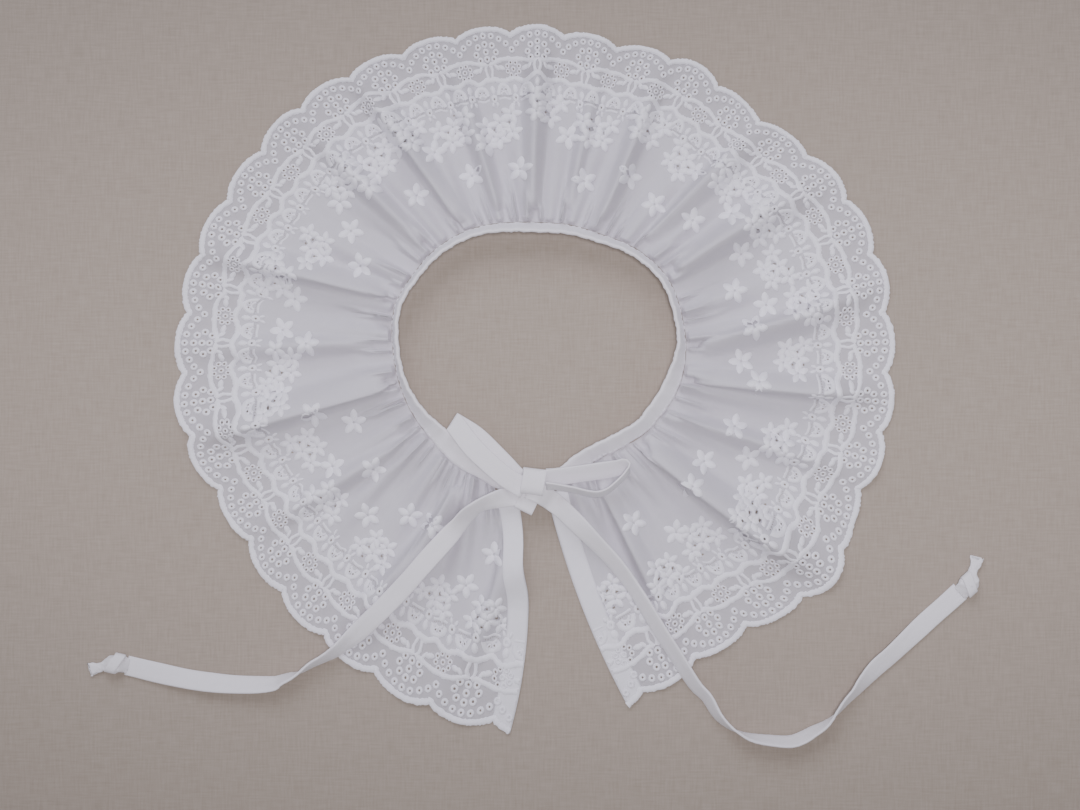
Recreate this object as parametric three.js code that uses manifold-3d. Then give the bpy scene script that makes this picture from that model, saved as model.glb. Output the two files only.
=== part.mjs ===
// A detachable collar of thin white cotton, laid flat: a gathered frill with a scalloped, pierced edge on a
// narrow neck band, two hemmed front edges, a flat bow and two loose ties that end in knots.
// Millimetres. It lies on z = 0, +Z is up and +Y points to the back of the neck.
import * as THREE from "three";
import Module from "manifold-3d";

const NECK_CENTRE_Y = 14.2; // the point that all angles and radii below are measured from
const CENTRE_X = 1.7; // brings the frill's outline to the middle of the frame
const CENTRE_Y = -1.6;
const SCALLOPS = 34;
const SCALLOP_PITCH = 34.5; // along the cloth
const SCALLOP_DEPTH = 5.2;
const FRILL_WIDTH = 116; // of the cloth, from the band to the tip of a scallop
const FRILL_WALL = 1.1;
const STEEPEST_WALL = 2.4; // the wall on a steep fold, measured upright, as a multiple of FRILL_WALL
const GATHERS_PER_SCALLOP = 1.5;
const GATHER_HEIGHT = 1.5;
const SEAM_HEIGHT = 6.6; // of the cloth where it leaves the band
const SEAM_FALL = 0.34; // share of the frill's width over which the cloth falls from the band
const EDGE_LIFT = 0.1; // share of a fold's height that is left at the scalloped edge
const HEM_WIDTH = 10;
const HEM_WALL = 1.7;
const BAND_WIDTH = 9.4;
const BAND_WALL = 2;
const BAND_HEIGHT = 7.8; // of the band's seam edge
const TIE_WIDTH = 10;
const TIE_WALL = 1.4;
const TIE_STEP = 6;
const GAP = 0.35; // between neighbouring pieces

const COLUMNS_PER_SCALLOP = 6;
const ROWS = [0, 0.06, 0.15, 0.3, 0.5, 0.7, 0.84, 1]; // shares of the frill's width

// Lines of the frill from neck to edge, by angle (degrees) and radius. bow: how far the line's middle stands
// off the straight, anticlockwise.
const SECTIONS = [
  { edgeDeg: -72.7, edgeR: 183, neckDeg: -78.5, neckR: 69, bow: -4 },
  { edgeDeg: -67, edgeR: 179.5, neckDeg: -71, neckR: 64.6, bow: -1 },
  { edgeDeg: -58, edgeR: 176, neckDeg: -61, neckR: 62.4, bow: 0 },
  { edgeDeg: -48, edgeR: 180.5, neckDeg: -50, neckR: 64.2, bow: 0 },
  { edgeDeg: -40, edgeR: 188, neckDeg: -41.5, neckR: 66.3, bow: 0 },
  { edgeDeg: -34, edgeR: 187.5, neckDeg: -36, neckR: 68.2, bow: 0 },
  { edgeDeg: -28, edgeR: 180, neckDeg: -30, neckR: 69.2, bow: 0 },
  { edgeDeg: -16, edgeR: 181, neckDeg: -17.5, neckR: 72.1, bow: 0 },
  { edgeDeg: 0, edgeR: 178.5, neckDeg: -2, neckR: 73.7, bow: 0 },
  { edgeDeg: 15, edgeR: 178, neckDeg: 13, neckR: 73.6, bow: 0 },
  { edgeDeg: 30, edgeR: 173.5, neckDeg: 29, neckR: 73.7, bow: 0 },
  { edgeDeg: 47, edgeR: 162, neckDeg: 46, neckR: 69.8, bow: 0 },
  { edgeDeg: 61, edgeR: 164, neckDeg: 61, neckR: 65.5, bow: 0 },
  { edgeDeg: 75, edgeR: 159.5, neckDeg: 75, neckR: 64.1, bow: 0 },
  { edgeDeg: 90, edgeR: 162.5, neckDeg: 90, neckR: 63.3, bow: 0 },
  { edgeDeg: 104, edgeR: 164, neckDeg: 103, neckR: 64.9, bow: 0 },
  { edgeDeg: 119, edgeR: 167, neckDeg: 118, neckR: 68.4, bow: 0 },
  { edgeDeg: 135, edgeR: 173, neckDeg: 135, neckR: 71.3, bow: 0 },
  { edgeDeg: 150, edgeR: 175, neckDeg: 149, neckR: 72.6, bow: 0 },
  { edgeDeg: 165, edgeR: 179.5, neckDeg: 163, neckR: 74.5, bow: 0 },
  { edgeDeg: 180, edgeR: 181.5, neckDeg: 179, neckR: 72.4, bow: 0 },
  { edgeDeg: 192, edgeR: 184, neckDeg: 191, neckR: 71.3, bow: 0 },
  { edgeDeg: 209, edgeR: 177, neckDeg: 207, neckR: 70.3, bow: 0 },
  { edgeDeg: 225, edgeR: 180.5, neckDeg: 221, neckR: 69.4, bow: 0 },
  { edgeDeg: 240, edgeR: 184, neckDeg: 234, neckR: 70.4, bow: 1 },
  { edgeDeg: 254, edgeR: 190, neckDeg: 246, neckR: 70.1, bow: 4 },
  { edgeDeg: 262.8, edgeR: 192, neckDeg: 252.6, neckR: 71.8, bow: 8 },
];

// The main folds: the crest's angle at the neck and at the edge, its height, the share of the width at which
// it begins to fall, its half width and how far its crest leans over, anticlockwise.
const FOLDS = [
  { neckDeg: -65, edgeDeg: -64, rise: 9, falls: 0.4, half: 7, lean: -2 },
  { neckDeg: -41.5, edgeDeg: -37.8, rise: 17, falls: 0.62, half: 11, lean: -4 },
  { neckDeg: -25.5, edgeDeg: -20.6, rise: 11, falls: 0.35, half: 8, lean: 0 },
  { neckDeg: -10.4, edgeDeg: -6.8, rise: 14, falls: 0.6, half: 8, lean: -3 },
  { neckDeg: -0.4, edgeDeg: 11.2, rise: 13, falls: 0.55, half: 9, lean: 2 },
  { neckDeg: 30.3, edgeDeg: 31.6, rise: 14, falls: 0.45, half: 12, lean: 0 },
  { neckDeg: 44.2, edgeDeg: 44.5, rise: 12, falls: 0.5, half: 8, lean: 2 },
  { neckDeg: 63.2, edgeDeg: 67.3, rise: 11, falls: 0.5, half: 7, lean: 0 },
  { neckDeg: 78, edgeDeg: 78, rise: 9, falls: 0.3, half: 6, lean: 0 },
  { neckDeg: 92, edgeDeg: 89.5, rise: 14, falls: 0.6, half: 8, lean: 0 },
  { neckDeg: 105, edgeDeg: 107, rise: 10, falls: 0.4, half: 7, lean: 0 },
  { neckDeg: 120.4, edgeDeg: 123.5, rise: 14, falls: 0.65, half: 8, lean: 2 },
  { neckDeg: 137, edgeDeg: 136, rise: 12, falls: 0.45, half: 8, lean: 0 },
  { neckDeg: 159, edgeDeg: 163.4, rise: 13, falls: 0.6, half: 9, lean: 3 },
  { neckDeg: 178, edgeDeg: 180, rise: 9, falls: 0.35, half: 8, lean: 0 },
  { neckDeg: 191.5, edgeDeg: 194.4, rise: 16, falls: 0.65, half: 11, lean: 4 },
  { neckDeg: 214, edgeDeg: 212, rise: 9, falls: 0.35, half: 8, lean: 0 },
  { neckDeg: 240.5, edgeDeg: 233.6, rise: 12, falls: 0.5, half: 9, lean: -2 },
  { neckDeg: 257, edgeDeg: 253.5, rise: 8, falls: 0.4, half: 7, lean: -2 },
];

// How wide the band looks from straight above; the rest of its width stands up.
const BAND_SEEN = [
  { deg: -86, seen: 9.2 },
  { deg: -70, seen: 8 },
  { deg: -61, seen: 6.8 },
  { deg: -49, seen: 7 },
  { deg: -37, seen: 6.5 },
  { deg: -22, seen: 7.4 },
  { deg: -13, seen: 7 },
  { deg: -3, seen: 4.8 },
  { deg: 5, seen: 3 },
  { deg: 39, seen: 2.9 },
  { deg: 53, seen: 3.2 },
  { deg: 90, seen: 4 },
  { deg: 118, seen: 3.2 },
  { deg: 153, seen: 2.2 },
  { deg: 190, seen: 2.2 },
  { deg: 209, seen: 5.4 },
  { deg: 223, seen: 8.4 },
  { deg: 259.5, seen: 9.2 },
];

// The ties' middle lines from the bow outwards. turn: degrees the tape is rolled about its own line, left edge
// up; at 180 its other face is on top.
const LEFT_TIE = [
  { x: -11.2, y: -58.1, turn: 0 },
  { x: -16, y: -59, turn: -15 },
  { x: -23, y: -60.8, turn: -37 },
  { x: -29.8, y: -63.5, turn: -52 },
  { x: -34, y: -66.6, turn: -48 },
  { x: -39.5, y: -73, turn: -35 },
  { x: -45.5, y: -79.8, turn: -8 },
  { x: -55.6, y: -90.9, turn: 0 },
  { x: -65.1, y: -101.8, turn: 0 },
  { x: -75.5, y: -112.8, turn: 0 },
  { x: -88.5, y: -125.4, turn: -18 },
  { x: -96.8, y: -132.6, turn: -47 },
  { x: -102, y: -136.9, turn: -57 },
  { x: -106.5, y: -139.5, turn: -66 },
  { x: -112.3, y: -142.4, turn: -72 },
  { x: -118.5, y: -146.5, turn: -85 },
  { x: -123.3, y: -148.5, turn: -104 },
  { x: -128.3, y: -150.5, turn: -114 },
  { x: -131.4, y: -152.1, turn: -127 },
  { x: -142.5, y: -152.8, turn: -143 },
  { x: -155.8, y: -152.4, turn: -152 },
  { x: -172, y: -150.6, turn: -162 },
  { x: -189, y: -147.3, turn: -176 },
  { x: -201, y: -144.5, turn: -180 },
  { x: -205.5, y: -143.4, turn: -180 },
];
const RIGHT_TIE = [
  { x: 4.6, y: -59.4, turn: 0 },
  { x: 7.9, y: -61.8, turn: 0 },
  { x: 12.3, y: -65.3, turn: 18 },
  { x: 18, y: -70.8, turn: 24 },
  { x: 28.3, y: -81.4, turn: 37 },
  { x: 39.5, y: -93.5, turn: 45 },
  { x: 49.8, y: -107.8, turn: 50 },
  { x: 60, y: -124.6, turn: 48 },
  { x: 69.3, y: -139.1, turn: 50 },
  { x: 78.5, y: -153.3, turn: 53 },
  { x: 84, y: -159, turn: 59 },
  { x: 89.3, y: -167.8, turn: 66 },
  { x: 95.3, y: -173.7, turn: 78 },
  { x: 100.5, y: -176.7, turn: 90 },
  { x: 106.5, y: -179, turn: 104 },
  { x: 113.8, y: -180.2, turn: 112 },
  { x: 126.3, y: -180.9, turn: 117 },
  { x: 132, y: -178.9, turn: 117 },
  { x: 137, y: -176, turn: 112 },
  { x: 141.8, y: -173.3, turn: 103 },
  { x: 145.8, y: -170.1, turn: 90 },
  { x: 149, y: -166.6, turn: 76 },
  { x: 153.5, y: -161.1, turn: 66 },
  { x: 157.9, y: -156.5, turn: 59 },
  { x: 161.5, y: -152.1, turn: 46 },
  { x: 169.4, y: -143.8, turn: 27 },
  { x: 175.5, y: -138.6, turn: 24 },
  { x: 194.5, y: -121.1, turn: 3 },
  { x: 204.5, y: -112.3, turn: 0 },
  { x: 211, y: -106.4, turn: 0 },
];

const COTTON = 0xf3f2f4;
const BATISTE = 0xecebef;

function smoothstep(from, to, value) {
  const share = Math.min(1, Math.max(0, (value - from) / (to - from)));
  return share * share * (3 - 2 * share);
}

// A smooth curve through one column of a table, read at a value of the table's key.
function read(rows, key, at, name) {
  let i = 0;
  while (i < rows.length - 2 && rows[i + 1][key] < at) {
    i += 1;
  }
  const before = rows[Math.max(0, i - 1)];
  const from = rows[i];
  const to = rows[i + 1];
  const after = rows[Math.min(rows.length - 1, i + 2)];
  const span = to[key] - from[key];
  const share = Math.min(1, Math.max(0, (at - from[key]) / span));
  const slopeFrom = ((to[name] - before[name]) / (to[key] - before[key])) * span;
  const slopeTo = ((after[name] - from[name]) / (after[key] - from[key])) * span;
  const s2 = share * share;
  const s3 = s2 * share;
  return (
    from[name] * (2 * s3 - 3 * s2 + 1) + slopeFrom * (s3 - 2 * s2 + share) +
    to[name] * (3 * s2 - 2 * s3) + slopeTo * (s3 - s2)
  );
}

function around(deg, radius) {
  const angle = THREE.MathUtils.degToRad(deg);
  return new THREE.Vector2(Math.cos(angle) * radius, NECK_CENTRE_Y + Math.sin(angle) * radius);
}

// One line of the frill, u scallops from the right front edge.
function section(u) {
  const first = SECTIONS[0].edgeDeg;
  const edgeDeg = first + ((SECTIONS[SECTIONS.length - 1].edgeDeg - first) * u) / SCALLOPS;
  const neckDeg = read(SECTIONS, "edgeDeg", edgeDeg, "neckDeg");
  const neckR = read(SECTIONS, "edgeDeg", edgeDeg, "neckR");
  const edgeR = read(SECTIONS, "edgeDeg", edgeDeg, "edgeR");
  const neck = around(neckDeg, neckR);
  const edge = around(edgeDeg, edgeR);
  const out = edge.clone().sub(neck).normalize();
  const side = new THREE.Vector2(-out.y, out.x);
  const bow = read(SECTIONS, "edgeDeg", edgeDeg, "bow");
  return { u, neckDeg, edgeDeg, neckR, edgeR, neck, edge, side, bow };
}

// The height of the cloth's underside and how far a point leans sideways for each mm of height.
function heightAndLean(line, t) {
  const base = SEAM_HEIGHT * (1 - smoothstep(0, SEAM_FALL, t));
  const deg = line.neckDeg + (line.edgeDeg - line.neckDeg) * t;
  const radius = line.neckR + (line.edgeR - line.neckR) * t;
  let height = base;
  let lean = 0;
  for (const fold of FOLDS) {
    const crest = fold.neckDeg + (fold.edgeDeg - fold.neckDeg) * t;
    const off = THREE.MathUtils.degToRad(deg - crest) * radius;
    const half = fold.half * (0.6 + 0.75 * t);
    if (Math.abs(off) >= half) {
      continue;
    }
    const across = Math.cos((off / half) * Math.PI * 0.5) ** 2;
    const along = smoothstep(-0.02, 0.14, t) * (1 - (1 - EDGE_LIFT) * smoothstep(fold.falls, 1, t));
    height += Math.max(0, fold.rise * along - base) * across;
    lean += (fold.lean / fold.rise) * across;
  }
  const wobble = 0.35 * Math.sin(line.u * 1.7);
  const gather = Math.cos(2 * Math.PI * GATHERS_PER_SCALLOP * line.u + wobble);
  height += GATHER_HEIGHT * gather * smoothstep(0, 0.05, t) * (1 - smoothstep(0.1, 0.42, t));
  return { height: height < 0.12 ? 0 : height, lean };
}

// How far out along its line the cloth at each share of its width lies: the cloth keeps its length, so it
// covers less ground where it climbs or falls.
function reach(line) {
  const steps = 40;
  const shares = [0];
  let last = heightAndLean(line, 0).height;
  for (let i = 1; i <= steps; i += 1) {
    const height = heightAndLean(line, i / steps).height;
    const length = FRILL_WIDTH / steps;
    const flat = Math.sqrt(Math.max(length ** 2 - (height - last) ** 2, (0.4 * length) ** 2));
    shares.push(shares[i - 1] + flat);
    last = height;
  }
  return (t) => {
    const at = Math.min(steps - 1e-6, Math.max(0, t * steps));
    const i = Math.floor(at);
    return (shares[i] + (shares[i + 1] - shares[i]) * (at - i)) / shares[steps];
  };
}

// The cloth ends short of the full width between two scallops.
function clothShare(u, t) {
  const scallop = Math.abs(Math.sin(Math.PI * u)) ** 0.6;
  const end = 1 - (SCALLOP_DEPTH * (1 - scallop)) / FRILL_WIDTH;
  const last = ROWS[ROWS.length - 2];
  return t <= last ? t : last + ((t - last) * (end - last)) / (1 - last);
}

// A pair of points, under and over the cloth, at one place of the frill.
function clothPair(line, reached, t, wall) {
  const share = clothShare(line.u, t);
  const here = heightAndLean(line, share);
  const ahead = heightAndLean(line, Math.min(1, share + 0.02));
  const beside = heightAndLean(section(Math.min(SCALLOPS, line.u + 0.04)), share);
  const slopeOut = (ahead.height - here.height) / (0.02 * FRILL_WIDTH);
  const slopeSide = (beside.height - here.height) / (0.04 * SCALLOP_PITCH * (0.4 + 0.5 * share));
  const upright = wall * Math.min(STEEPEST_WALL, Math.hypot(1, slopeOut, slopeSide));
  const far = reached(share);
  const spot = line.neck.clone().lerp(line.edge, far);
  spot.addScaledVector(line.side, line.bow * 4 * far * (1 - far));
  return [here.height, here.height + upright].map((z) => {
    const moved = spot.clone().addScaledVector(line.side, here.lean * z);
    return new THREE.Vector3(moved.x, moved.y, z);
  });
}

// Closed faceted solids.
class Solid {
  constructor() {
    this.points = [];
    this.faces = [];
  }

  add(point) {
    this.points.push(point.x, point.y, point.z);
    return this.points.length / 3 - 1;
  }

  triangle(a, b, c) {
    this.faces.push(a, b, c);
  }

  quad(a, b, c, d) {
    this.faces.push(a, b, c, a, c, d);
  }

  geometry() {
    const geometry = new THREE.BufferGeometry();
    geometry.setAttribute("position", new THREE.Float32BufferAttribute(this.points, 3));
    geometry.setIndex(this.faces);
    geometry.computeVertexNormals();
    return geometry;
  }
}

// A sheet between two layers of points: pairs[i][j] holds the lower and the upper point. Where a hole stands
// at a line of the grid, the two cells beside that line carry it.
function sheet(pairs, holes = []) {
  const solid = new Solid();
  const ids = pairs.map((line) => line.map((pair) => pair.map((point) => solid.add(point))));
  const taken = new Set(holes.flatMap(({ i, j }) => [`${i - 1},${j}`, `${i},${j}`]));
  const last = pairs.length - 1;
  const end = pairs[0].length - 1;
  for (let i = 0; i < last; i += 1) {
    for (let j = 0; j < end; j += 1) {
      if (taken.has(`${i},${j}`)) {
        continue;
      }
      const corners = [ids[i][j], ids[i][j + 1], ids[i + 1][j + 1], ids[i + 1][j]];
      solid.quad(corners[0][1], corners[1][1], corners[2][1], corners[3][1]);
      solid.quad(corners[3][0], corners[2][0], corners[1][0], corners[0][0]);
    }
    solid.quad(ids[i][0][1], ids[i + 1][0][1], ids[i + 1][0][0], ids[i][0][0]);
    solid.quad(ids[i][end][0], ids[i + 1][end][0], ids[i + 1][end][1], ids[i][end][1]);
  }
  for (let j = 0; j < end; j += 1) {
    solid.quad(ids[0][j][0], ids[0][j + 1][0], ids[0][j + 1][1], ids[0][j][1]);
    solid.quad(ids[last][j][1], ids[last][j + 1][1], ids[last][j + 1][0], ids[last][j][0]);
  }
  for (const { i, j, rim } of holes) {
    const outer = [
      ids[i - 1][j], ids[i - 1][j + 1], ids[i][j + 1], ids[i + 1][j + 1], ids[i + 1][j], ids[i][j],
    ];
    const inner = rim.map((pair) => pair.map((point) => solid.add(point)));
    for (let k = 0; k < 6; k += 1) {
      const n = (k + 1) % 6;
      solid.quad(outer[k][1], outer[n][1], inner[n][1], inner[k][1]);
      solid.quad(outer[n][0], outer[k][0], inner[k][0], inner[n][0]);
      solid.quad(inner[k][1], inner[n][1], inner[n][0], inner[k][0]);
    }
  }
  return solid.geometry();
}

// The frill: a grid of lines from neck to edge with two pierced gaps for each scallop.
const FLOWER_GAP = { line: 3, cell: 6, t: 0.895, radius: 1.7 };
const GRAPE_GAP = { line: 0, cell: 5, t: 0.775, radius: 1.9 };

function frillGeometry() {
  const count = SCALLOPS * COLUMNS_PER_SCALLOP;
  const pairs = [];
  for (let i = 0; i <= count; i += 1) {
    const line = section(i / COLUMNS_PER_SCALLOP);
    const reached = reach(line);
    pairs.push(ROWS.map((t) => clothPair(line, reached, t, FRILL_WALL)));
  }
  const holes = [];
  for (let scallop = 0; scallop < SCALLOPS; scallop += 1) {
    for (const gap of [FLOWER_GAP, GRAPE_GAP]) {
      const i = scallop * COLUMNS_PER_SCALLOP + gap.line;
      if (i === 0) {
        continue;
      }
      const rim = [225, 135, 90, 45, -45, -90].map((deg) => {
        const angle = THREE.MathUtils.degToRad(deg);
        const u = i / COLUMNS_PER_SCALLOP + (Math.cos(angle) * gap.radius) / SCALLOP_PITCH;
        const line = section(u);
        return clothPair(line, reach(line), gap.t + (Math.sin(angle) * gap.radius) / FRILL_WIDTH, FRILL_WALL);
      });
      holes.push({ i, j: gap.cell, rim });
    }
  }
  return sheet(pairs, holes);
}

// A hem: a thicker strip beside the frill's first or last line.
function hemGeometry(u, direction) {
  const line = section(u);
  const reached = reach(line);
  const shares = [0.03, 0.055, 0.09, 0.16, 0.26, 0.4, 0.55, 0.7, 0.84, 0.93, 1];
  const rows = shares.map((t) => clothPair(line, reached, t * (1 - SCALLOP_DEPTH / FRILL_WIDTH), HEM_WALL));
  const strip = [GAP, HEM_WIDTH * 0.5, HEM_WIDTH].map((offset) =>
    rows.map((pair, j) => {
      const before = rows[Math.max(0, j - 1)][0];
      const after = rows[Math.min(rows.length - 1, j + 1)][0];
      const along = new THREE.Vector2(after.x - before.x, after.y - before.y).normalize();
      return pair.map(
        (point) =>
          new THREE.Vector3(
            point.x - along.y * offset * direction,
            point.y + along.x * offset * direction,
            point.z,
          ),
      );
    }),
  );
  return sheet(direction > 0 ? strip : strip.reverse());
}

// A solid through rings of points, closed at both ends.
function loft(rings) {
  const solid = new Solid();
  const ids = rings.map((ring) => ring.map((point) => solid.add(point)));
  const sides = rings[0].length;
  for (let i = 0; i < rings.length - 1; i += 1) {
    for (let k = 0; k < sides; k += 1) {
      const n = (k + 1) % sides;
      solid.quad(ids[i][k], ids[i][n], ids[i + 1][n], ids[i + 1][k]);
    }
  }
  const last = ids[ids.length - 1];
  for (let k = 1; k < sides - 1; k += 1) {
    solid.triangle(ids[0][0], ids[0][k + 1], ids[0][k]);
    solid.triangle(last[0], last[k], last[k + 1]);
  }
  return solid.geometry();
}

// The neck band: a folded strip that leans inwards and up from its seam.
function bandGeometry() {
  const first = BAND_SEEN[0].deg;
  const last = BAND_SEEN[BAND_SEEN.length - 1].deg;
  const steps = 56;
  const rings = [];
  for (let i = 0; i <= steps; i += 1) {
    const deg = first + ((last - first) * i) / steps;
    const seen = read(BAND_SEEN, "deg", deg, "seen");
    const tilt = Math.acos(Math.min(1, seen / BAND_WIDTH));
    const neckR = read(SECTIONS, "neckDeg", deg, "neckR");
    const seam = neckR - GAP - (BAND_WALL / 2) * Math.sin(tilt);
    const lower = { r: seam, z: BAND_HEIGHT };
    const upper = { r: seam - BAND_WIDTH * Math.cos(tilt), z: BAND_HEIGHT + BAND_WIDTH * Math.sin(tilt) };
    const n = { r: (Math.sin(tilt) * BAND_WALL) / 2, z: (Math.cos(tilt) * BAND_WALL) / 2 };
    const corners = [
      [lower.r + n.r, lower.z + n.z],
      [upper.r + n.r, upper.z + n.z],
      [upper.r - n.r, upper.z - n.z],
      [lower.r - n.r, lower.z - n.z],
    ];
    rings.push(
      corners.reverse().map(([r, z]) => {
        const spot = around(deg, r);
        return new THREE.Vector3(spot.x, spot.y, z);
      }),
    );
  }
  return loft(rings);
}

// A flat tape through middle points; sides[i] points across the tape.
function tape(middles, sides, width, wall) {
  const half = width / 2;
  const thick = wall / 2;
  const outline = [
    [half, -thick / 2], [half, thick / 2], [half - thick, thick], [-half + thick, thick],
    [-half, thick / 2], [-half, -thick / 2], [-half + thick, -thick], [half - thick, -thick],
  ];
  return loft(
    middles.map((middle, i) => {
      const before = middles[Math.max(0, i - 1)];
      const after = middles[Math.min(middles.length - 1, i + 1)];
      const along = after.clone().sub(before).normalize();
      const up = along.clone().cross(sides[i]).normalize();
      const across = up.clone().cross(along).normalize();
      return outline.map(([a, b]) => middle.clone().addScaledVector(across, a).addScaledVector(up, b));
    }),
  );
}

// The height of the highest surface under a spot.
function topUnder(below, x, y) {
  const ray = new THREE.Raycaster(new THREE.Vector3(x, y, 60), new THREE.Vector3(0, 0, -1));
  const hits = ray.intersectObjects(below);
  return hits.length ? hits[0].point.z : 0;
}

// Points at even steps along a fine line, measured from above, with both ends kept.
function evenly(fine, step) {
  const run = [0];
  for (let i = 1; i < fine.length; i += 1) {
    run.push(run[i - 1] + Math.hypot(fine[i].x - fine[i - 1].x, fine[i].y - fine[i - 1].y));
  }
  const total = run[run.length - 1];
  const count = Math.round(total / step);
  const spots = [];
  let i = 0;
  for (let k = 0; k <= count; k += 1) {
    const want = (total * k) / count;
    while (i < fine.length - 2 && run[i + 1] < want) {
      i += 1;
    }
    spots.push(fine[i].clone().lerp(fine[i + 1], (want - run[i]) / (run[i + 1] - run[i])));
  }
  return spots;
}

// A tie laid over whatever is below it.
function tieGeometry(route, below) {
  const curve = new THREE.CatmullRomCurve3(
    route.map(({ x, y, turn }) => new THREE.Vector3(x, y, turn)), false, "centripetal",
  );
  const spots = evenly(curve.getPoints(route.length * 12), TIE_STEP);
  const laid = spots.map((spot, i) => {
    const before = spots[Math.max(0, i - 1)];
    const after = spots[Math.min(spots.length - 1, i + 1)];
    const along = new THREE.Vector2(after.x - before.x, after.y - before.y).normalize();
    const turn = THREE.MathUtils.degToRad(spot.z);
    const half = (TIE_WIDTH / 2) * Math.abs(Math.cos(turn));
    let top = 0;
    for (const a of [-1, -0.5, 0, 0.5, 1]) {
      for (const b of [-1, -0.5, 0, 0.5, 1]) {
        const x = spot.x - along.y * half * a + along.x * TIE_STEP * b;
        const y = spot.y + along.x * half * a + along.y * TIE_STEP * b;
        top = Math.max(top, topUnder(below, x, y));
      }
    }
    const lift = (TIE_WIDTH / 2) * Math.abs(Math.sin(turn)) + (TIE_WALL / 2) * Math.abs(Math.cos(turn));
    const middle = new THREE.Vector3(spot.x, spot.y, top + GAP + lift);
    const side = new THREE.Vector3(-along.y * Math.cos(turn), along.x * Math.cos(turn), Math.sin(turn));
    return { middle, side };
  });
  return tape(laid.map((item) => item.middle), laid.map((item) => item.side), TIE_WIDTH, TIE_WALL);
}

const wasm = await Module();
wasm.setup();

// Joins closed solids into one.
function join(geometries) {
  const joined = geometries
    .map((geometry) => {
      const mesh = new wasm.Mesh({
        numProp: 3,
        vertProperties: new Float32Array(geometry.getAttribute("position").array),
        triVerts: new Uint32Array(geometry.getIndex().array),
      });
      return new wasm.Manifold(mesh);
    })
    .reduce((a, b) => a.add(b));
  const { vertProperties, triVerts } = joined.getMesh();
  const geometry = new THREE.BufferGeometry();
  geometry.setAttribute("position", new THREE.Float32BufferAttribute(vertProperties, 3));
  geometry.setIndex(new THREE.Uint32BufferAttribute(triVerts, 1));
  geometry.computeVertexNormals();
  return geometry;
}

// A rounded lump: rings of an ellipsoid along x, squared off by a power of its cosine.
function lump(size, power) {
  const rings = [];
  for (let i = 1; i < 7; i += 1) {
    const angle = (i / 7) * Math.PI;
    const ring = [];
    for (let k = 0; k < 8; k += 1) {
      const turn = (k / 8) * 2 * Math.PI;
      const round = Math.sin(angle) ** power;
      const square = (value) => Math.sign(value) * Math.abs(value) ** power;
      ring.push(
        new THREE.Vector3(
          (-square(Math.cos(angle)) * size.x) / 2,
          (square(Math.cos(turn)) * round * size.y) / 2,
          (square(Math.sin(turn)) * round * size.z) / 2,
        ),
      );
    }
    rings.push(ring);
  }
  return loft(rings);
}

// The bow's loops lie on the band; the knot is wrapped round them.
const LOOP_WALL = 1;
const LOOP_ARCH = 1.2; // how far the upper layer of the left loop bows up
const LOOP_FLOOR = 11; // the right loop stands no higher than this on the cloth
const LEFT_LOOP = [
  { share: 0, upperX: -10.4, upperY: -52.4, lowerX: -12.8, lowerY: -47 },
  { share: 0.25, upperX: -17.9, upperY: -47.4, lowerX: -17.6, lowerY: -41.7 },
  { share: 0.6, upperX: -31.3, upperY: -35.1, lowerX: -29.5, lowerY: -29.9 },
  { share: 1, upperX: -41, upperY: -22.7, lowerX: -41, lowerY: -22.3 },
];
const LEFT_LOOP_RISE = { near: 12, far: 14.6, layerGap: 1.5 };
const RIGHT_LOOP = [
  { x: 4.4, y: -49.6, turn: 32 },
  { x: 12, y: -48.6, turn: 32 },
  { x: 19, y: -47.6, turn: 32 },
  { x: 30, y: -46, turn: 33 },
  { x: 38.5, y: -44.6, turn: 38 },
  { x: 43, y: -43, turn: 50 },
  { x: 44.9, y: -44.6, turn: 62 },
  { x: 42.8, y: -48.2, turn: 70 },
  { x: 38.5, y: -52.4, turn: 72 },
  { x: 33.5, y: -56.2, turn: 72 },
  { x: 29, y: -57.4, turn: 72 },
  { x: 24, y: -56.8, turn: 72 },
  { x: 18.5, y: -55.4, turn: 72 },
  { x: 12, y: -54.2, turn: 72 },
  { x: 8.6, y: -53.6, turn: 72 },
];
const KNOT = { x: -2.3, y: -51.2, z: 14.6, turn: -7 };
const KNOT_SIZE = new THREE.Vector3(12, 13, 7.4);
const KNOT_TAB = { x: -4.3, y: -60, z: 12, turn: -27 };
const KNOT_TAB_SIZE = new THREE.Vector3(11, 12, 2.6);

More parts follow.
